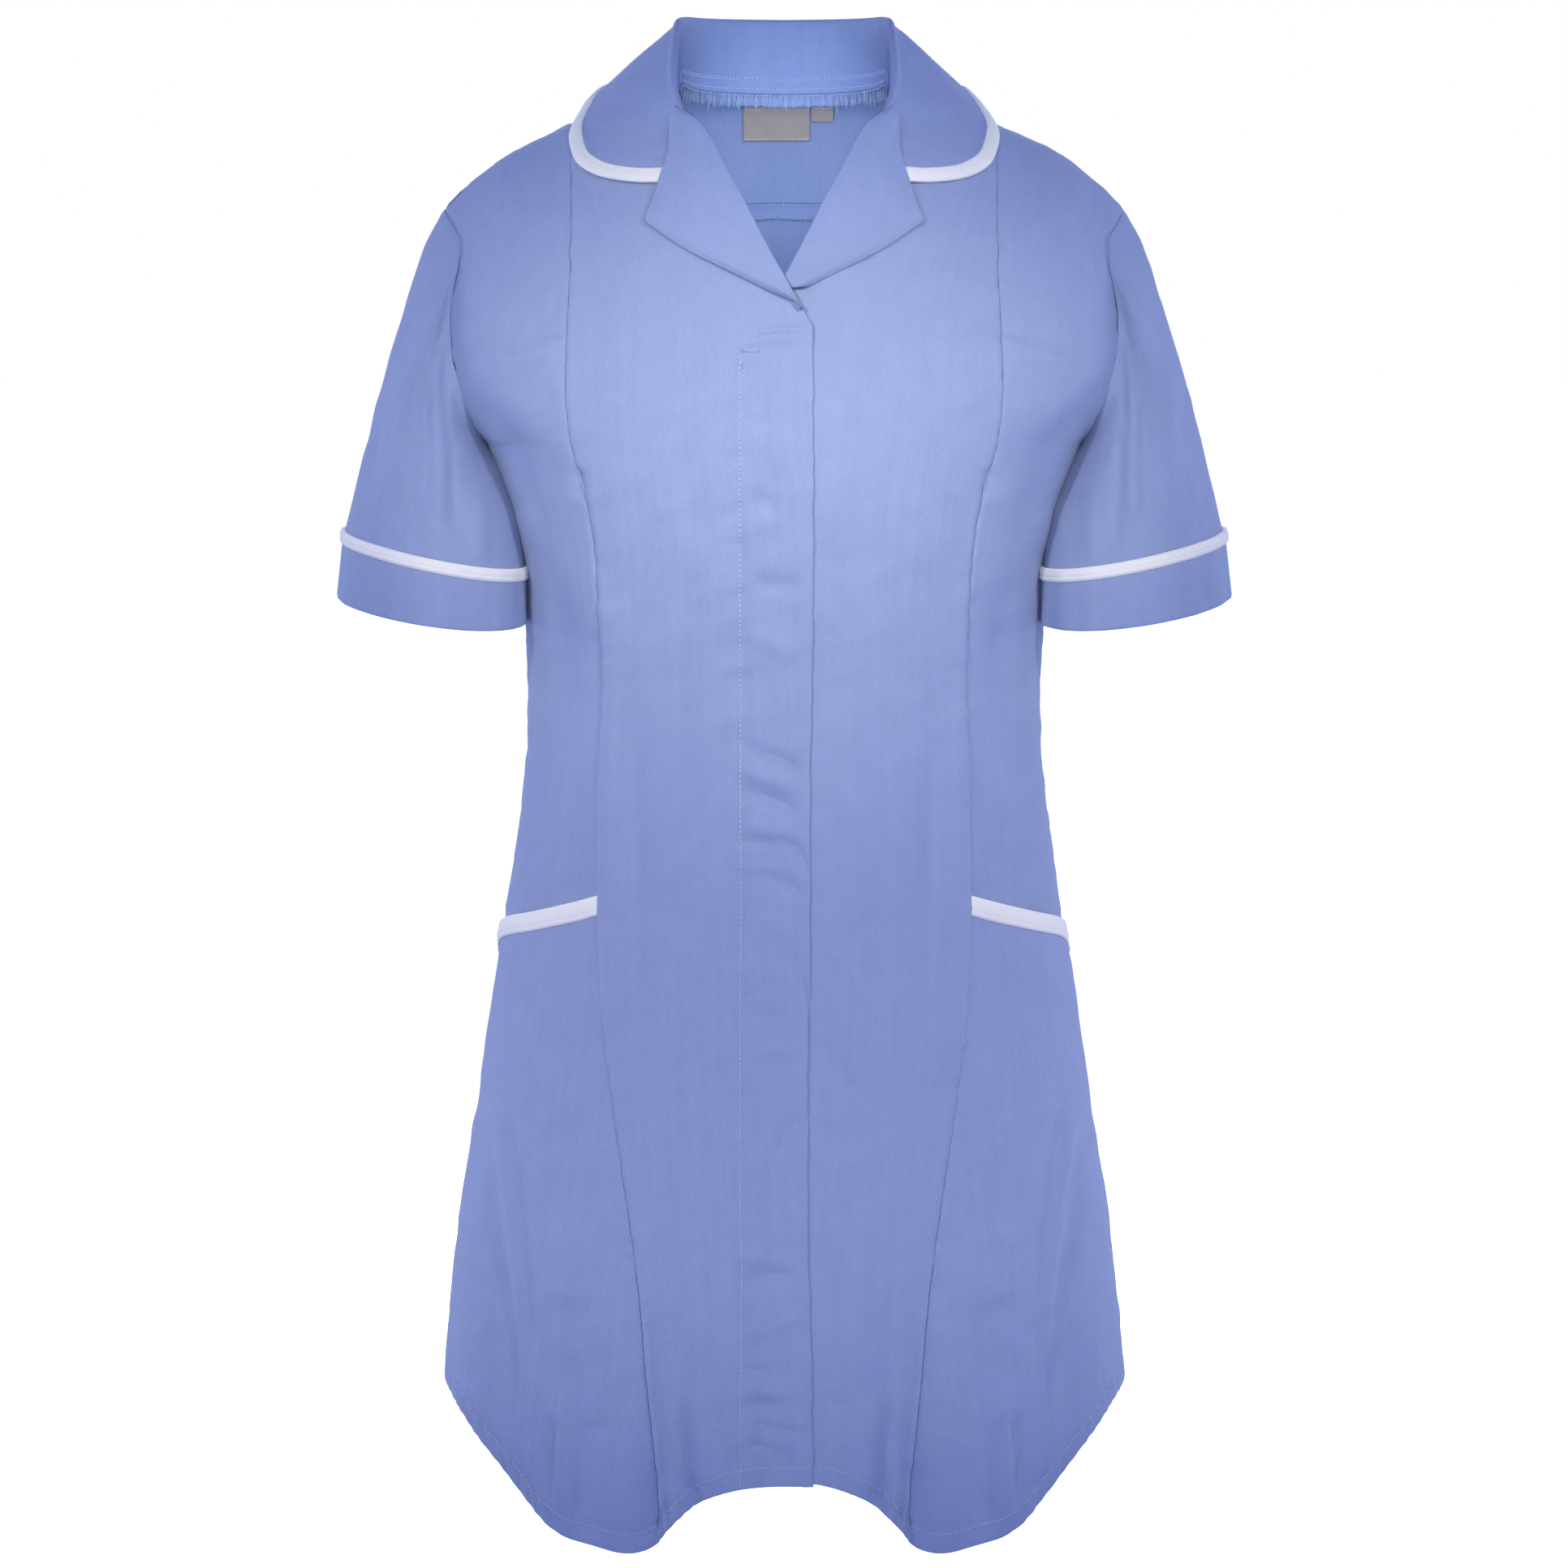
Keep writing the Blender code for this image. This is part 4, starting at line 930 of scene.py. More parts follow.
def collar_section(stations, spots):
    """Collar from the foot of its stand over the roll to its edge, on the wearer's left."""
    keys = np.arange(len(COLLAR), dtype=float)
    table = np.column_stack((keys, COLLAR))
    foot, roll, edge = (
        np.stack([smooth(table, stations, 1 + 3 * group + axis) for axis in range(3)], -1)
        for group in range(3)
    )
    away = unit((edge - roll) * np.array((1.0, 1.0, 0.0)))
    up = np.array((0.0, 0.0, 1.0))
    plump = (1.0 - COLLAR_FLAT * ease((stations - FLAT_STATION) / FLAT_BLEND))[:, None]
    fall = roll + (away * ROLL_WIDTH - up * ROLL_DROP) * plump
    bend = fall + (away * FALL_BEND[0] - up * FALL_BEND[1]) * plump
    length = np.linalg.norm(edge - fall, axis=1, keepdims=True)
    rows = []
    for part, t in spots:
        if part == "stand":
            row = behind_roll(foot + (roll - up * ROLL_DROP * plump - foot) * t)
        elif part == "roll":
            over = away * ROLL_WIDTH / 2 * (1 - math.cos(t * math.pi))
            under = up * ROLL_DROP * (1 - math.sin(t * math.pi))
            row = roll + (over - under) * plump
            row = behind_roll(row) if t < 0.5 else clear_of_body(row)
        else:
            if part == "band":
                t = 1 - COLLAR_BINDING / length * (1 - t)
            row = clear_of_body(fall * (1 - t) ** 2 + 2 * bend * t * (1 - t) + edge * t * t)
        rows.append(row)
    return np.stack(rows)


def behind_roll(points):
    """Keeps the collar's stand inside the roll line in front."""
    limit = smooth(ROLL, points[:, 2]) - STAND_CLEAR
    inside = np.where(points[:, 1] < 0.0, np.minimum(points[:, 0], limit), points[:, 0])
    return np.column_stack((inside, points[:, 1:]))


def clear_of_body(points):
    """Keeps the collar's fall off the torso."""
    points = points.copy()
    x, y, z = points[..., 0], points[..., 1], points[..., 2]
    neck = np.minimum(smooth(ROLL, z), NECK_HALF) - STAND_CLEAR
    for side in (-1, 1):
        near = bare_torso(side, angle_of(x, z), z)[..., 1] + side * COLLAR_CLEAR
        under = (z < smooth(SHOULDER, np.abs(x)) - 0.004) & (np.abs(x) > neck)
        inside = under & (side * y > 0) & (side * y < side * near)
        points[..., 1] = np.where(inside, near, points[..., 1])
    return points


def mirrored(cloth):
    """Mirror image across the centre plane, of points or of points with normals."""
    flip = np.ones(cloth.shape[-1])
    flip[0::3] = -1.0
    return cloth * flip


# Finishes: colours are linear
BLUE = (0.300, 0.382, 0.590)
WHITE = (0.960, 0.965, 0.870)
GREY = (0.470, 0.405, 0.320)
THREAD_BLUE = (0.520, 0.640, 0.840)


def fill(tree, node, values):
    """Fills a node's inputs with constants or links."""
    for key, value in values.items():
        if isinstance(value, bpy.types.NodeSocket):
            tree.links.new(value, node.inputs[key])
        else:
            node.inputs[key].default_value = value


def add_node(tree, kind, values, output=0, **settings):
    """Adds a shader node and returns one of its outputs."""
    node = tree.nodes.new("ShaderNode" + kind)
    for key, value in settings.items():
        setattr(node, key, value)
    fill(tree, node, values)
    return node.outputs[output]


def woven(name, colour, pitch, angle, relief, sheen=0.15, mottle=0.05):
    """Woven cloth: fine slanted ribs, uneven yarn and slight changes of colour."""
    material = bpy.data.materials.new(name)
    material.use_nodes = True
    tree = material.node_tree
    shader = tree.nodes["Principled BSDF"]
    uv = add_node(tree, "UVMap", {})
    turn = add_node(tree, "Mapping", {"Vector": uv, "Rotation": (0.0, 0.0, math.radians(angle))})
    ribs = add_node(tree, "TexWave", {"Vector": turn, "Scale": 0.314 / pitch, "Distortion": 1.2,
                                      "Detail": 2.0, "Detail Scale": 1.5}, 1,
                    wave_type="BANDS", bands_direction="X")
    along_yarn = add_node(tree, "Mapping", {"Vector": uv, "Scale": (1.0, 0.16, 1.0)})
    along_streak = add_node(tree, "Mapping", {"Vector": uv, "Scale": (220.0, 9.0, 1.0)})
    yarn, patch, streak = (
        add_node(tree, "TexNoise", {"Vector": way, "Scale": scale, "Detail": detail})
        for way, scale, detail in ((along_yarn, 900.0, 3.0), (uv, 60.0, 4.0),
                                   (along_streak, 1.0, 3.0)))
    both = add_node(tree, "Math", {0: yarn, 1: patch}, operation="ADD")
    total = add_node(tree, "Math", {0: both, 1: streak}, operation="ADD")
    mean = add_node(tree, "Math", {0: total, 1: 0.333}, operation="MULTIPLY")
    ribbed = add_node(tree, "Math", {0: ribs, 1: 0.16, 2: mean}, operation="MULTIPLY_ADD")
    shade = add_node(tree, "MapRange", {"Value": ribbed, "From Min": 0.38, "From Max": 0.78,
                                        "To Min": 1.0 - mottle, "To Max": 1.0 + mottle})
    tint = add_node(tree, "RGB", {})
    tint.default_value = (*colour, 1.0)
    fine = add_node(tree, "Bump", {"Strength": relief, "Distance": 0.00012, "Height": ribs})
    fill(tree, shader, {
        "Base Color": add_node(tree, "Mix", {0: 1.0, 6: tint, 7: shade}, 2,
                               data_type="RGBA", blend_type="MULTIPLY"),
        "Roughness": add_node(tree, "MapRange", {"Value": ribs, "To Min": 0.74, "To Max": 0.90}),
        "Normal": add_node(tree, "Bump", {"Strength": relief, "Distance": 0.00022,
                                          "Height": yarn, "Normal": fine}),
    })
    shader.inputs["Sheen Weight"].default_value = sheen
    shader.inputs["Sheen Roughness"].default_value = 0.5
    shader.inputs["Specular IOR Level"].default_value = 0.25
    return material


# Finishes: a material and a name
TWILL = woven("tunic_twill", BLUE, 0.0010, 58.0, 0.60, mottle=0.075), "blue_twill"
TAPE = woven("tunic_binding", WHITE, 0.0007, 45.0, 0.5, 0.1, 0.02), "white_binding"
LABEL = woven("tunic_label", GREY, 0.0006, 0.0, 0.5, 0.05, 0.08), "woven_label"
BLUE_THREAD = woven("tunic_thread_blue", THREAD_BLUE, 0.0004, 30.0, 0.4, mottle=0.03), TWILL[1]
WHITE_THREAD = woven("tunic_thread_white", WHITE, 0.0004, 30.0, 0.4, mottle=0.02), TAPE[1]
LABEL_THREAD = WHITE_THREAD[0], LABEL[1]

SHEETS, ADDED = {}, {}


def uv_of(points):
    """Lengths along the cloth, across from the middle column and down from the first row."""
    u = lengths(np.swapaxes(points, 0, 1)).T
    u = u - u[:, points.shape[1] // 2][:, None]
    side = 1.0 if np.sum(points[:, -1, 0] - points[:, 0, 0]) >= 0 else -1.0
    return np.stack((u * side, -lengths(points)), axis=-1).reshape(-1, 2)


def faces_of(rows, columns, closed, flip):
    row, column = np.meshgrid(np.arange(rows - 1), np.arange(columns - (not closed)),
                              indexing="ij")
    right = (column + 1) % columns
    faces = np.stack((row * columns + column, (row + 1) * columns + column,
                      (row + 1) * columns + right, row * columns + right), axis=-1)
    faces = faces.reshape(-1, 4)
    return faces[:, ::-1] if flip else faces


def link_mesh(name, points, faces, finish, uv=None):
    """Adds a mesh that rides the body; without a map it is mapped from the front."""
    points = points.reshape(-1, 3)
    uv = points[:, (0, 2)] if uv is None else uv
    mesh = bpy.data.meshes.new(name)
    mesh.from_pydata(points.tolist(), [], faces.tolist())
    mesh.shade_smooth()
    mesh.materials.append(finish[0])
    layer = mesh.uv_layers.new(name="UVMap")
    corners = np.empty(len(mesh.loops), dtype=np.int32)
    mesh.loops.foreach_get("vertex_index", corners)
    layer.data.foreach_set("uv", uv[corners].ravel())
    piece = bpy.data.objects.new(name, mesh)
    bpy.context.scene.collection.objects.link(piece)
    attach(piece, "root")
    return piece


def thick_mesh(name, cloth, finish, wall, flip, closed=False):
    """Thin cloth through a grid of points."""
    points = cloth[..., :3]
    faces = faces_of(*points.shape[:2], closed, flip)
    piece = link_mesh(name, points, faces, finish, uv_of(points))
    made = piece.modifiers.new("cloth", "SOLIDIFY")
    made.thickness = wall
    made.offset = -1.0
    return piece


def shell(name, node, cloth, flip, closed=False, finish=TWILL, wall=CLOTH):
    """Thin cloth in the place of a CAD node."""
    SHEETS[name] = thick_mesh(name, cloth, finish, wall, flip, closed)
    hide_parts(node)


def twill(node, cloth, flip, closed=False, wall=CLOTH):
    shell("cloth_" + node, node, cloth, flip, closed, wall=wall)


def tape(name, node, cloth, flip, closed=False):
    shell("band_" + name, node, cloth, flip, closed, TAPE, BAND_WALL)


def spokes(normal, side):
    """Ways from the middle of a thread to the corners of its section."""
    angles = np.arange(CORNERS) * 2 * math.pi / CORNERS
    return (normal[..., None, :] * np.cos(angles)[:, None]
            + side[..., None, :] * np.sin(angles)[:, None])


def stitches(name, lines, finish, pitch=0.0029, radius=0.00036):
    """Rows of short threads along lines of points with normals."""
    shares = np.array((0.0, 0.14, 0.5, 0.86, 1.0))
    sizes = np.array((0.30, 0.85, 1.0, 0.85, 0.30)) * radius
    sinks = np.array((-0.9, -0.1, 0.35, -0.1, -0.9)) * radius + STITCH_RISE
    quad = np.roll(faces_of(SECTIONS, CORNERS, True, True), 1, axis=1)
    size = SECTIONS * CORNERS
    verts, faces = [], []
    total = 0
    for line in lines:
        length = lengths(line)
        count = int(length[-1] / pitch)
        if count < 1:
            continue
        starts = np.arange(count) * length[-1] / count
        spots = sample(starts[:, None] + shares * pitch * STITCH_FILL, length, line)
        place, normal = spots[..., :3], unit(spots[..., 3:])
        side = np.cross(unit(place[:, -1:] - place[:, :1]), normal)
        ring = (place + normal * sinks[:, None])[:, :, None]
        verts.append((ring + sizes[:, None, None] * spokes(normal, side)).reshape(-1, 3))
        faces.append((total + np.arange(count)[:, None, None] * size + quad).reshape(-1, 4))
        total += count * size
    link_mesh(name, np.concatenate(verts), np.concatenate(faces), finish)


def thread(name, line, radius):
    """One thread laid along a line of points."""
    points = line[:, :3]
    ahead = unit(np.gradient(points, axis=0))
    normal = unit(line[:, 3:] - ahead * np.sum(line[:, 3:] * ahead, axis=1, keepdims=True))
    ring = points[:, None] + radius * spokes(normal, np.cross(ahead, normal))
    link_mesh(name, ring, faces_of(len(points), CORNERS, True, False), BLUE_THREAD)


def hem_ripple(cloth):
    """Small slanted puckers between the hem's edge and its stitches, where the hem climbs."""
    away, along = edge_distance(cloth, "bottom"), run_of(cloth[-1])
    step = np.linalg.norm(np.gradient(cloth[-1, :, :3], axis=0), axis=-1)
    climb = np.abs(np.gradient(cloth[-1, :, 2])) / np.maximum(step, 1e-9)
    place = (along + 0.35 * away) / PUCKER_PITCH
    wave = np.sin(2 * math.pi * place + 1.5 * wobble(along, 0.03, 1.0))
    inside = bell(away - HEM_DEPTH * 0.6, HEM_DEPTH * 0.55)
    stitch = bell(away - HEM_DEPTH + HEM_STITCH, GROOVE_HALF)
    height = PUCKER_LEVEL + PUCKER_CLIMB * ease(climb * 1.4)
    return height * wave * inside - 0.00050 * stitch


def build_fronts():
    share = seam_shares(FRONT_WIDTH)
    made = []
    for sign, name, own_edge, hem_rise, table, seed in (
            (-1, "right", right_edge, 0.0, FRONT_CREASES, 0.4),
            (1, "left", left_edge, LEFT_HEM_RISE, UNDER_CREASES, 2.4)):
        flip = sign > 0
        z, distance = front_rows(share, own_edge, hem_rise)
        x = sign * distance
        lift = unevenness(x, z) + (lap_lift(z, distance) if flip else 0.0)
        cloth = as_cloth(skin(-1, angle_of(x, z), z, lift, table), flip)
        cloth = raised(cloth, seam_ridge(cloth, WAIST_RIDGE), flip)
        cloth = seamed(cloth, flip, (("left", 0.5, 0.45), ("top", 0.2, 0.5)), seed=seed)
        relief = hem_ripple(cloth) + (0.0 if flip else placket_relief(cloth))
        cloth = raised(cloth, relief, flip)
        cut = folded(folded(cloth, "bottom", tails=HEM_TAILS), "right")
        cut = turned_in(turned_in(cut, "left", under=PRINCESS_UNDER), "top")
        twill("front_" + name, cut, flip)
        made.append(cloth)
    return made


def seam_ridge(cloth, height):
    """The centre stands up towards the princess seam at the waist, and the side falls away."""
    away = edge_distance(cloth, "left")
    z = cloth[..., 2]
    waist = zone(z, -0.270, 0.060, -0.640, 0.080)
    return height * waist * bell(away, 0.020)


def placket_place(z):
    """Place across of the placket's stitching."""
    return PLACKET_STITCHES + 0.0005 * wobble(z, 0.31, 2.2)


def placket_relief(cloth):
    """Groove of the placket's stitching, and puckers between it and the edge."""
    z = cloth[..., 2]
    past = cloth[..., 0] - placket_place(z)
    below = ease((-0.152 - z) / 0.012)
    pucker = wobble(z - 0.25 * past, 0.026, 0.7) * bell(past, 0.010)
    return below * (-0.0008 * bell(past, GROOVE_HALF) + 0.0005 * bell(past - 0.0050, 0.0040)
                    + 0.0007 * pucker)


def placket_line(cloth):
    """Line of the placket's stitching on the cloth."""
    rows = [(row, placket_place(row[0, 2])) for row in cloth]
    return np.array([sample(place, row[:, 0], row) for row, place in rows
                     if row[0, 0] < place < row[-1, 0]])


def build_side_fronts():
    share = seam_shares(SIDE_WIDTH)
    z, angle = side_front_rows(share)
    for sign, name, flip in BOTH_SIDES:
        x = sign * torso_x(-1, angle, z)
        lift = side_front_lift(z, share) + unevenness(x, z)
        cloth = as_cloth(skin(-1, angle * sign, z, lift), flip)
        rise = SIDE_FULLNESS * bell(edge_distance(cloth, "right"), 0.016)
        rise = rise * ease((-0.170 - z) / 0.060) * ease((z + 0.400) / 0.110)
        cloth = raised(cloth, seam_ridge(cloth, -0.0004) + rise, flip)
        cloth = seamed(cloth, flip, (("left", 0.1, 0.55), ("right", 0.2, 0.30),
                                     ("top", 0.2, 0.5)), seed=sign * 1.1)
        cut = turned_in(turned_in(cloth, "left"), "right", depth=SIDE_DEPTH)
        twill("side_front_" + name, turned_in(cut, "top"), flip)


def build_pockets():
    share = seam_shares(POCKET_WIDTH, step=0.0021)
    z, angle = pocket_rows(share)
    made = []
    for sign, name, flip in BOTH_SIDES:
        lift = pocket_lift(share) + unevenness(sign * torso_x(-1, angle, z), z)
        cloth = as_cloth(skin(-1, angle * sign, z, lift), flip)
        cloth = seamed(cloth, flip, (("left", 0.15, 0.4), ("right", 0.2, 0.6)), seed=sign * 2.1)
        cloth = raised(cloth, hem_ripple(cloth), flip)
        cut = folded(cloth, "bottom", tails=HEM_TAILS)
        twill("pocket_" + name, turned_in(cut, "left", "right"), flip)
        rows = band_rows(cloth, "top", POCKET_BINDING)
        tape("pocket_" + name, "pocket_binding_" + name, rows, not flip)
        made.append((cloth, rows))
    return made


def band_rows(cloth, edge, width, seed=1.0):
    """Binding folded over an edge: up its back, round the edge and down its face."""
    place, normal, ahead = past_edge(from_edge(cloth, edge))
    along = run_of(place)
    behind, over = LAYER + 0.0002, BINDING_OVER
    rows = []

    def put(line, rise):
        rows.append(joined(line[:, :3] + line[:, 3:] * rise, line[:, 3:]))

    for tail in (0.7, 0.35):
        put(inset(cloth, edge, width * tail), -behind)
    for turn in np.radians((180.0, 140.0, 100.0, 60.0, 20.0)):
        spot = place + ahead * (over * 0.4 + math.sin(turn) * over)
        spot = spot - normal * behind * (1 - math.cos(turn)) / 2
        put(joined(spot, normal), BAND_PROUD * (1 + math.cos(turn)) / 2)
    for distance in np.linspace(0.0006, width, 12):
        wave = 0.00018 * wobble(along + distance, 0.013, seed)
        swell = 0.00035 * math.sin(math.pi * min(1.0, distance / width)) + BAND_PROUD
        swell -= 0.00040 * bell(distance - width + 0.0024, 0.0008)
        swell -= 0.0007 * ease((distance - width + 0.0012) / 0.0012)
        put(inset(cloth, edge, distance), (swell + wave)[:, None])
    put(inset(cloth, edge, width + 0.0001), 0.00005)
    return np.stack(rows)


def build_lapels():
    share = seam_shares(LAPEL_WIDTH, step=0.0016, near=(0.0005, 0.0012))
    tip = LAPEL[4, 0]
    heights = np.concatenate((np.linspace(LAPEL_TOP, tip, 36),
                              np.linspace(tip, LAPEL_END, 34)[1:]))
    for sign, name, flip in ((-1, "right", False), (1, "left", True)):
        if flip:
            heights = heights[heights > LEFT_LAPEL_BOTTOM]
        z, distance = lapel_rows(heights, share, left_lapel_inner if flip else roll_place)
        lift = lapel_lift(z, share) + (lap_lift(z, distance) if flip else 0.0)
        x, past = sign * distance, distance - smooth(LAPEL, z)
        low_edge = bell(past, 0.012)
        lift = lift + 0.6 * unevenness(x * 1.7, z * 1.7) - 0.0010 * ease((past + 0.006) / 0.006)
        # The tip and the lower edge stand up, and the upper end lies under the collar
        lift = lift + 0.0022 * bell(z - tip, 0.008) * bell(past, 0.008)
        lift = lift + 0.0012 * low_edge * ease((-0.088 - z) / 0.012)
        lift = lift - 0.0050 * ease((z + 0.0300) / 0.0080) * low_edge
        cut = folded(as_cloth(skin(-1, angle_of(x, z), z, lift), flip), "left", 0.0008)
        cut = folded(cut, "right", 0.0012, tails=(0.001,))
        twill("lapel_" + name, turned_in(cut, "top", depth=0.001), flip)


def back_cloth(rows, seams, seed):
    z, angle = rows
    lift = unevenness(torso_x(1, angle, z) + BACK_SHIFT, z)
    return seamed(as_cloth(skin(1, angle, z, lift), True), True, seams, seed=seed)


def build_back():
    neck = np.linspace(-NECK_SHARE, NECK_SHARE, 49)
    near = 1 - np.array((0.0026, 0.0018, 0.0011, 0.0005, 0.0)) / 0.21
    shoulder = np.concatenate((np.linspace(NECK_SHARE, near[0] - 0.012, 38)[1:], near))
    share = np.concatenate((-shoulder[::-1], neck, shoulder))
    yoke = back_cloth(yoke_rows(share), (("left", 0.2, 0.3), ("right", 0.2, 0.3),
                                         ("bottom", 0.1, 0.6), ("top", 0.1, 0.3)), 5.0)
    twill("back_yoke", turned_in(yoke, "left", "right", "bottom"), True)
    back = back_cloth(back_rows(share), (("left", 0.2, 0.5), ("right", 0.2, 0.5),
                                         ("top", 0.5, 0.5)), 6.0)
    back = raised(back, hem_ripple(back), True)
    cut = folded(back, "bottom", tails=HEM_TAILS)
    twill("back_panel", turned_in(cut, "left", "right", "top", under=BACK_UNDER), True)
    return yoke, back


def sleeve_relief(points, shift):
    """Creases of a sleeve, drawn on its front and moved a little on its back."""
    x, z = -np.abs(points[..., 0]) + shift, points[..., 2]
    front = crease_height(SLEEVE_CREASES, x, z)
    behind = crease_height(SLEEVE_CREASES, x + 0.006, z + 0.004)
    return np.where(np.sin(TURN) > 0, front, behind) * np.abs(np.sin(TURN)) ** 0.5


def sleeve_rise(points, sign, inside):
    """Creases and fullness of a sleeve over its plain tube."""
    fade = np.linspace(0.0, 1.0, len(points))[:, None]
    rise = sleeve_relief(points, 0.002 if sign > 0 else 0.0)
    rise = rise * ease(fade * 6) * (0.35 + 0.65 * ease((1.04 - fade) * 6))
    rise = rise + 0.7 * unevenness(points[..., 0] * 1.3, points[..., 2] * 1.3)
    # Fuller on its inner side, hollow in front of that
    rise = rise + 0.0058 * inside * ease(fade * 3) * ease((1 - fade) * 2.4)
    rise = rise + 0.0024 * inside * ease(fade * 3)
    front = np.clip(np.sin(TURN + 0.35), 0.0, 1.0) * np.clip(-np.cos(TURN), 0.0, 1.0) ** 0.5
    rise = rise - 0.0019 * front * ease(fade * 5) * ease((1 - fade) * 1.5)
    # Level with the front at the armhole, and rounded over the shoulder's end
    level = 0.0015 * np.clip(np.sin(TURN), 0.0, 1.0) * (1 - ease(fade * 5))
    return rise + level + 0.0016 * np.clip(np.cos(TURN), 0.0, 1.0) ** 2 * bell(fade - 0.22, 0.10)


def build_sleeves():
    tube = sleeve_rows(np.concatenate(((0.0, 0.004, 0.009, 0.016, 0.026),
                                       np.linspace(0.04, 1.0, 46))), (0.3, 0.6, 0.93))
    end = sleeve_rows((), np.linspace(0.0, 1.0, 20))
    inside = np.clip(-np.cos(TURN - 0.25), 0.0, 1.0) ** 3
    around, drop = TURN * CUFF_RADIUS, np.linspace(0.0, 1.0, len(end))[:, None]
    bands = []
    for sign, name, flip in ((1, "left", True), (-1, "right", False)):
        points = tube if sign > 0 else mirrored(tube)
        cloth = raised(as_cloth(points, flip, True), sleeve_rise(points, sign, inside), flip, True)
        cloth = seamed(cloth, flip, (("top", 0.25, 0.20),), closed=True, seed=sign * 0.6)
        twill("sleeve_" + name, turned_in(cloth, "top", under=SLEEVE_UNDER), flip, True)
        cuff = as_cloth(end if sign > 0 else mirrored(end), flip, True)
        wave = 0.0007 * wobble(around, 0.062, sign * 1.2) + 0.0004 * wobble(around, 0.023, 3.0)
        wave = np.where(TURN < math.pi, wave, wave[::-1]) * (0.5 + 0.5 * drop)
        cuff = raised(cuff, SEAM + LAYER + wave + 0.0024 * inside, flip, True)
        cut = folded(cuff, "bottom", 0.0011, tails=(0.004, 0.010, 0.018))
        twill("cuff_" + name, cut, flip, True)
        bands.append(band_rows(cuff, "top", CUFF_BINDING, sign))
        tape("cuff_" + name, "cuff_binding_" + name, bands[-1], not flip, True)
    return bands


def build_collar():
    spots = [(part, t) for part, first, last, count in COLLAR_PARTS
             for t in np.linspace(first, last, count)]
    half = collar_section(np.linspace(0.0, len(COLLAR) - 1.0, 96), spots)
    whole = np.concatenate((mirrored(half)[:, :0:-1], half), axis=1)
    rows = np.arange(len(spots))[:, None]
    fall, stand = ease((rows - 26.0) / 12.0), ease((20.0 - rows) / 8.0)
    wave = 0.0007 * wobble(whole[..., 0] + whole[..., 1], 0.085, 1.0) * fall
    wave = wave + 0.0003 * wobble(whole[..., 0], 0.03, 2.0) * stand
    cloth = raised(as_cloth(whole, True), wave, True)
    cut = turned_in(cloth, "left", "right", depth=COLLAR_DEPTH)
    place, normal = cut[0, :, :3], cut[0, :, 3:]
    column = np.arange(cut.shape[1])
    taper = ease(np.minimum(column, column[::-1]) / 9.0)
    behind = ease((place[:, 1] - 0.030) / 0.030)
    foot = []
    for out, sink in COLLAR_FOOT:
        spot = place - normal * (out * taper * (1 + 0.25 * behind))[:, None]
        spot[:, 2] -= sink * taper * (1 - 0.84 * behind)
        foot.append(joined(spot, normal))
    twill("collar", np.concatenate((np.stack(foot), cut)), True, wall=STIFF_WALL)
    band = band_rows(cloth, "bottom", COLLAR_BINDING)
    tape("collar", "collar_binding", band, False)
    return cloth, band


def inner_side(cloth, through):
    """The same points on the inside of the cloth."""
    return joined(cloth[..., :3] - cloth[..., 3:] * through, -cloth[..., 3:])


def build_labels():
    made = []
    for name, (left, right, top, bottom), seed in (("neck_label", NECK_LABEL, 1.0),
                                                   ("size_tab", SIZE_TAB, 2.0)):
        x, z = np.meshgrid(np.linspace(left, right, 40), np.linspace(top, bottom, 28))
        edge = np.minimum(np.minimum(x - left, right - x), np.minimum(top - z, z - bottom))
        lift = -LAYER - LABEL_GAP + 0.0002 * wobble(x + z, 0.021, seed)
        lift = lift - 0.0003 * ease(edge / 0.002)
        cloth = as_cloth(skin(1, angle_of(x, z), z, lift), True)
        shell("woven_" + name, name, cloth, True, finish=LABEL, wall=STIFF_WALL)
        made.append(inner_side(cloth, STIFF_WALL))
    return made


def overlock(name, line, depth, owner, seed, over=0.0):
    """Cut edge with its zigzag of threads: a thin frayed strip and the threads on it."""
    place, normal, along = line[:, :3], line[:, 3:], run_of(line)
    down = unit(np.cross(normal, unit(np.gradient(place, axis=0))))
    down = down * np.where(down[:, 2:] > 0, -1.0, 1.0)
    ragged = depth + 0.00055 * wobble(along, 0.0042, seed) + 0.0004 * wobble(along, 0.0017, 2.0)
    grid = []
    for share in np.linspace(0.0, 1.0, 8):
        lift = 0.0003 + 0.0006 * math.sin(math.pi * share) + 0.0002 * wobble(along, 0.009, seed)
        lift = lift + over * ease(share * 2.0)
        spot = place + down * (ragged * share)[:, None] + normal * lift[:, None]
        grid.append(joined(spot, normal))
    strip = thick_mesh(name + "_strip", np.stack(grid), TWILL, STRIP_WALL, False)
    ADDED.setdefault(owner, []).append(strip)
    count = int(along[-1] / LOOP_PITCH)
    at = np.linspace(along[0], along[-1], count)
    loose = wobble(at, 0.0063, seed) * wobble(at, 0.0021, 1.0)
    loose = 1.02 + 0.80 * np.clip(loose + 0.1, 0.0, 1.0)
    share = np.where(np.arange(count) % 2 == 0, 0.08, loose)
    base, way = sample(at, along, line), sample(at, along, down)
    reach = np.interp(at, along, ragged) * share
    proud = 0.0010 + over * ease(share * 2.0)
    spot = base[:, :3] + way * reach[:, None] + base[:, 3:] * proud[:, None]
    thread(name + "_zigzag", joined(spot, base[:, 3:]), 0.00034)
    needle = joined(grid[1][:, :3] + normal * 0.0006, normal)
    stitches(name + "_needle", [needle], BLUE_THREAD, pitch=0.0026)


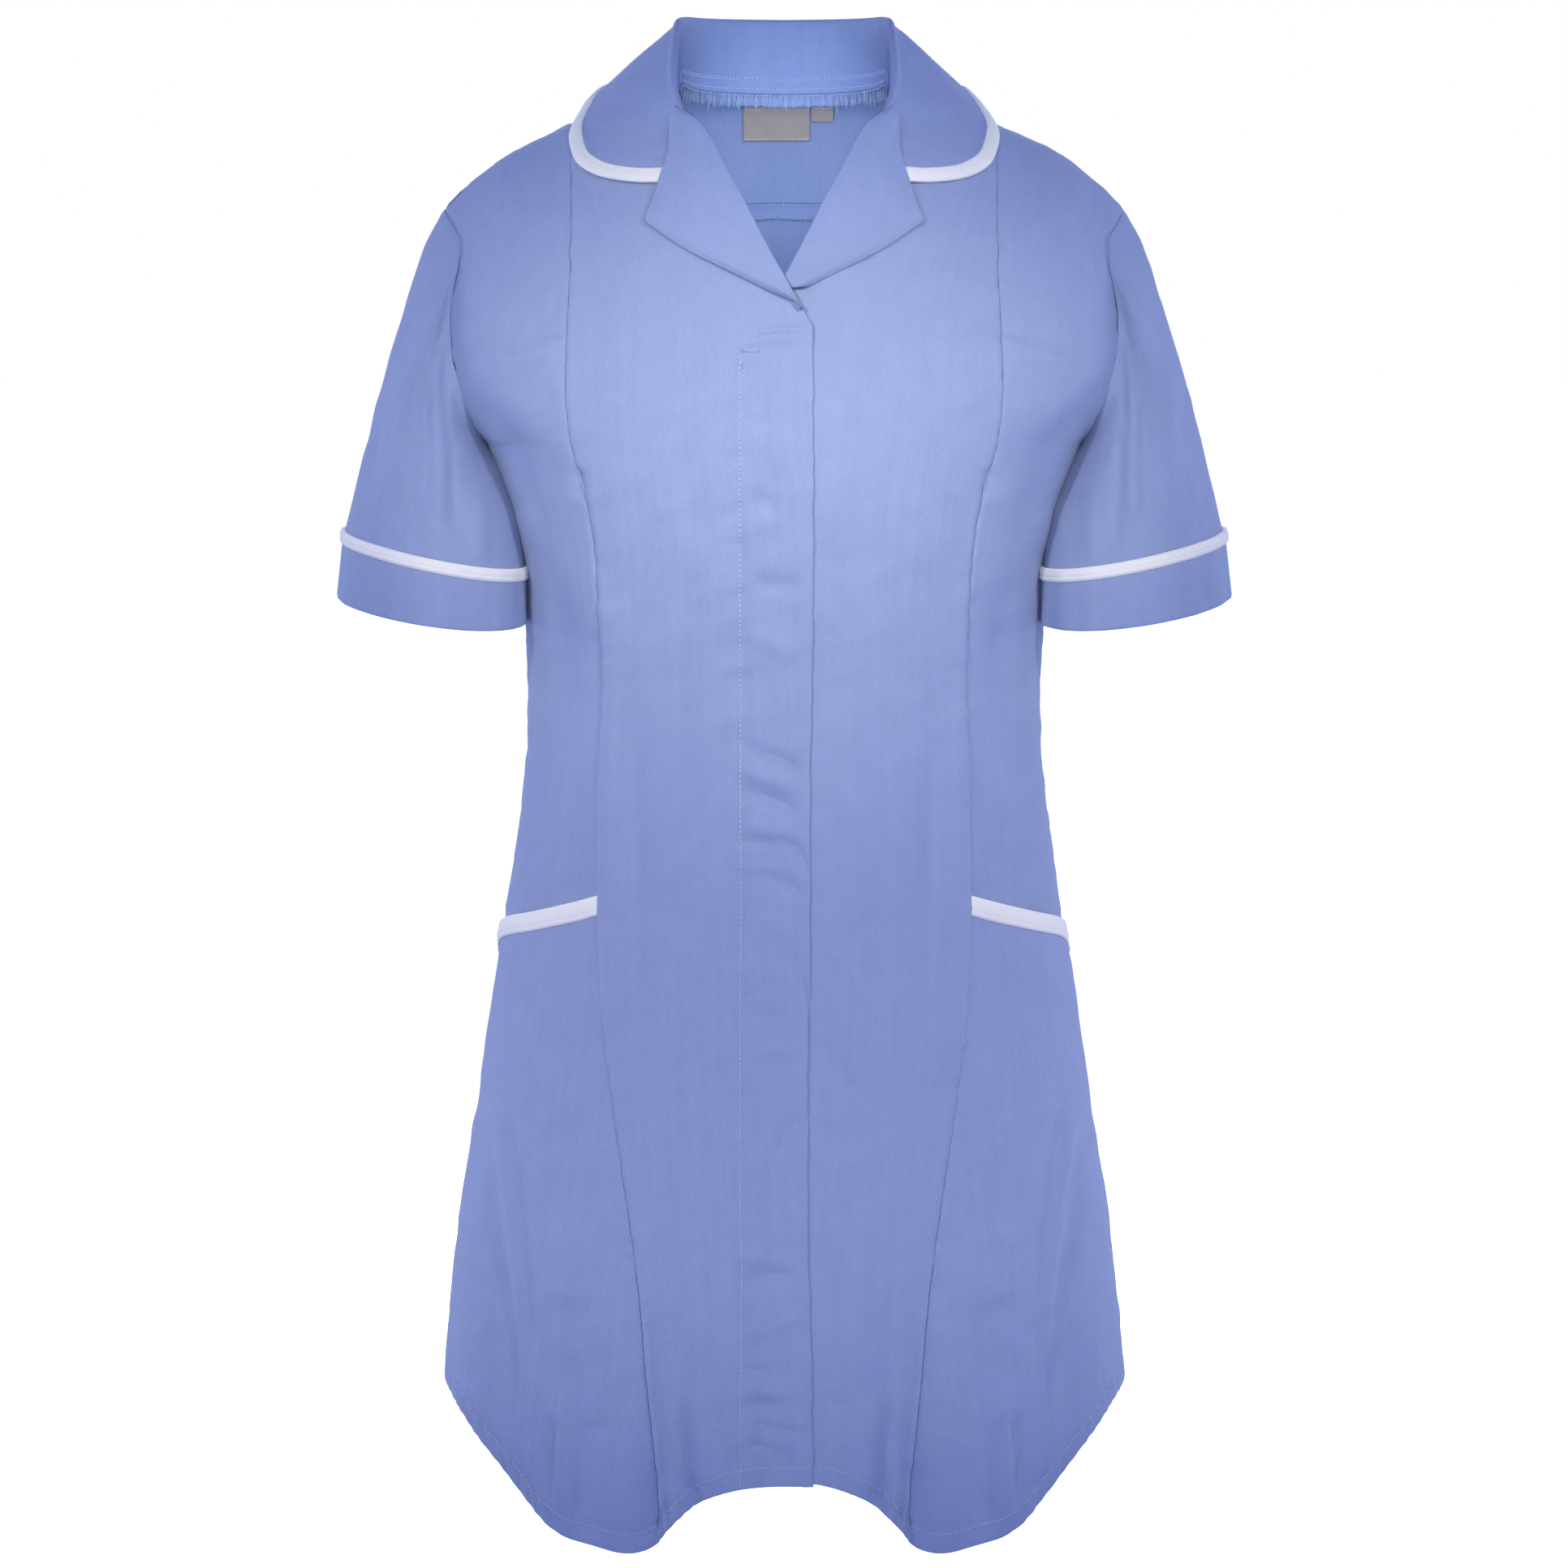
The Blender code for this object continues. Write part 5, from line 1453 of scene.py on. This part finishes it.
def sew_placket(front):
    """Stitches of the placket, the bartack at their top and its loose thread."""
    line = placket_line(front)
    level = line[:, 2]
    stitches("stitch_placket", [line[level < PLACKET_TOP]], BLUE_THREAD)
    bar = line[np.argmin(np.abs(level - PLACKET_TOP))]

    def lay(name, x, y, z, radius):
        spot = bar[:3] + np.stack((x, y, z), axis=-1)
        thread(name, joined(spot, 0 * spot + bar[3:]), radius)

    across = np.linspace(-0.0005, 0.0118, BARTACK_LEGS)
    rise = np.where(np.arange(BARTACK_LEGS) % 2 == 0, 0.0008, -0.0008)
    lay("stitch_bartack", across, 0 * across - 0.0004, rise, 0.0004)
    turn = np.linspace(0.0, 1.0, 40)
    lay("thread_end", 0.0012 * np.sin(turn * 11.0) - 0.0006 * turn,
        -0.0010 - 0.0006 * np.sin(turn * 7.0),
        -0.006 - 0.011 * turn + 0.0012 * np.cos(turn * 13.0), 0.0002)


def sew_hems(pieces):
    for name, cloth in pieces:
        line = inset(cloth, "bottom", HEM_DEPTH - HEM_STITCH)[2:-2]
        if name == "front_left":
            line = line[line[:, 0] > smooth(EDGE, line[:, 2]) + 0.0005]
        stitches("stitch_hem_" + name, [line], BLUE_THREAD)


def sew_bindings(pockets, cuffs, collar):
    for name, bands in (("pocket_", pockets), ("cuff_", cuffs)):
        for side, band in zip(("left", "right"), bands):
            line = band[STITCHED_ROW]
            if name == "cuff_":
                line = np.concatenate((line, line[:1]))
            stitches("stitch_" + name + side, [line], WHITE_THREAD)
    stitches("stitch_collar_binding", [collar[STITCHED_ROW]], WHITE_THREAD)


def sew_neck(collar, yoke, labels):
    middle = collar.shape[1] // 2
    reach = int(np.sum(collar[2, middle:, 1] > STAND_SEWN))
    span = slice(middle - reach, middle + reach + 1)
    rows = []
    for at in (*STAND_ROWS, OVERLOCK_ROW):
        low = int(at)
        rows.append((collar[low] * (low + 1 - at) + collar[low + 1] * (at - low))[span])
    stitches("stitch_stand", rows[:-1], BLUE_THREAD, pitch=0.0024)
    overlock("neck_seam", rows[3], NECK_OVERLOCK, "cloth_collar", 1.4)
    seam = inner_side(inset(yoke, "bottom", YOKE_EDGE)[24:-24], STRIP_THROUGH)
    overlock("yoke_seam", seam, YOKE_OVERLOCK, "cloth_back_yoke", 2.6, YOKE_OVER)
    for name, label, rows in (("neck_label", labels[0], (2, -3)), ("size_tab", labels[1], (2,))):
        stitches("stitch_" + name, [label[row, 1:-1] for row in rows], LABEL_THREAD,
                 pitch=0.0020, radius=0.00018)


# Stage
FLOOR_LEVEL = -1.00
FLOOR_HALF = 40.0
FLOOR_GLOW = 0.95
SKY = (0.42, 0.64, 1.75, 1.0)
SKY_LIGHT = 0.30
PLAIN_LIGHT = (1.0, 1.0, 1.0)
KEY_LIGHT = (1.10, 1.00, 0.85)
SKIRT_LIGHT = (1.12, 0.90, 0.86)
NECK_LIGHT = (0.80, 0.92, 1.20)
INSIDE_LIGHT = (0.74, 0.90, 1.32)


def build_floor():
    material = bpy.data.materials.new("studio_floor")
    material.use_nodes = True
    fill(material.node_tree, material.node_tree.nodes["Principled BSDF"], {
        "Base Color": (0.92, 0.92, 0.93, 1.0), "Roughness": 0.9,
        "Emission Color": (1.0, 1.0, 1.0, 1.0), "Emission Strength": FLOOR_GLOW})
    mesh = bpy.data.meshes.new("floor")
    corners = [(x * FLOOR_HALF, y * FLOOR_HALF, FLOOR_LEVEL)
               for x, y in ((-1, -1), (1, -1), (1, 1), (-1, 1))]
    mesh.from_pydata(corners, [], [(0, 1, 2, 3)])
    mesh.materials.append(material)
    floor = bpy.data.objects.new("floor", mesh)
    bpy.context.scene.collection.objects.link(floor)
    floor.visible_diffuse = False


def build_world():
    world = bpy.data.worlds.new("studio")
    bpy.context.scene.world = world
    world.use_nodes = True
    tree = world.node_tree
    sky = tree.nodes["Background"]
    fill(tree, sky, {"Color": SKY, "Strength": SKY_LIGHT})
    white = add_node(tree, "Background", {"Color": (1.0, 1.0, 1.0, 1.0), "Strength": 1.0})
    seen = add_node(tree, "LightPath", {}, "Is Camera Ray")
    blend = add_node(tree, "MixShader", {0: seen, 1: sky.outputs[0], 2: white})
    fill(tree, tree.nodes["World Output"], {"Surface": blend})


def add_lamp(name, data, place, target, power, colour):
    data.energy = power
    data.color = colour
    lamp = bpy.data.objects.new(name, data)
    lamp.location = place
    aim = Vector(target) - Vector(place)
    lamp.rotation_euler = aim.to_track_quat("-Z", "Y").to_euler()
    bpy.context.scene.collection.objects.link(lamp)
    return lamp


def add_area(name, place, target, power, size, colour=PLAIN_LIGHT):
    data = bpy.data.lights.new(name, "AREA")
    data.shape = "RECTANGLE"
    data.size, data.size_y = size
    add_lamp(name, data, place, target, power, colour)


def add_spot(name, place, target, power, angle, colour, size=0.10):
    data = bpy.data.lights.new(name, "SPOT")
    data.spot_size = math.radians(angle)
    data.spot_blend = 1.0
    data.shadow_soft_size = size
    add_lamp(name, data, place, target, power, colour).visible_camera = False


def build_camera():
    data = bpy.data.cameras.new("camera")
    data.lens = LENS
    data.sensor_width = 36.0
    data.clip_end = 200.0
    camera = bpy.data.objects.new("camera", data)
    camera.location = EYE.tolist()
    camera.rotation_euler = (math.pi / 2 - ELEVATION, 0.0, 0.0)
    bpy.context.scene.collection.objects.link(camera)
    bpy.context.scene.camera = camera


def build_lamps():
    add_area("front", (0.0, -2.60, 0.35), (0.0, -0.05, -0.35), 17.0, (1.1, 0.9), KEY_LIGHT)
    for side in (-1.0, 1.0):
        add_spot("chest_%d" % side, (side * 0.90, -1.60, 0.50), (side * 0.05, -0.10, -0.225),
                 65.0, 15.5, KEY_LIGHT)
        add_spot("skirt_%d" % side, (side * 1.40, -1.60, -0.20), (side * 0.14, -0.10, -0.615),
                 48.0, 14.5, SKIRT_LIGHT)
        add_spot("bust_%d" % side, (side * 1.00, -1.90, -0.85), (side * 0.13, -0.09, -0.225),
                 17.0, 8.0, KEY_LIGHT)
    add_spot("neck", (0.0, -1.45, 0.16), (0.0, 0.07, -0.03), 30.0, 6.0, NECK_LIGHT)
    add_spot("inside", (0.0, -0.095, -0.085), (0.0, 0.080, -0.045), 0.64, 84.0, INSIDE_LIGHT,
             0.01)
    add_area("back", (0.0, 2.60, 0.50), (0.0, 0.0, -0.35), 44.0, (1.2, 1.0))
    for side in (-1.0, 1.0):
        add_area("side_%d" % side, (side * 2.3, 1.1, 0.3), (0.0, 0.0, -0.35), 22.0, (1.0, 1.0))


def build_tunic():
    fronts = build_fronts()
    build_side_fronts()
    pockets = build_pockets()
    build_lapels()
    yoke, back = build_back()
    cuff_bands = build_sleeves()
    collar, collar_band = build_collar()
    labels = build_labels()
    sew_placket(fronts[0])
    sew_hems((("front_right", fronts[0]), ("front_left", fronts[1]), ("back", back),
              ("pocket_left", pockets[0][0]), ("pocket_right", pockets[1][0])))
    sew_bindings([band for _, band in pockets], cuff_bands, collar_band)
    sew_neck(collar, yoke, labels)


build_camera()
build_world()
build_floor()
bpy.context.scene.view_settings.view_transform = "Standard"
build_lamps()
build_tunic()
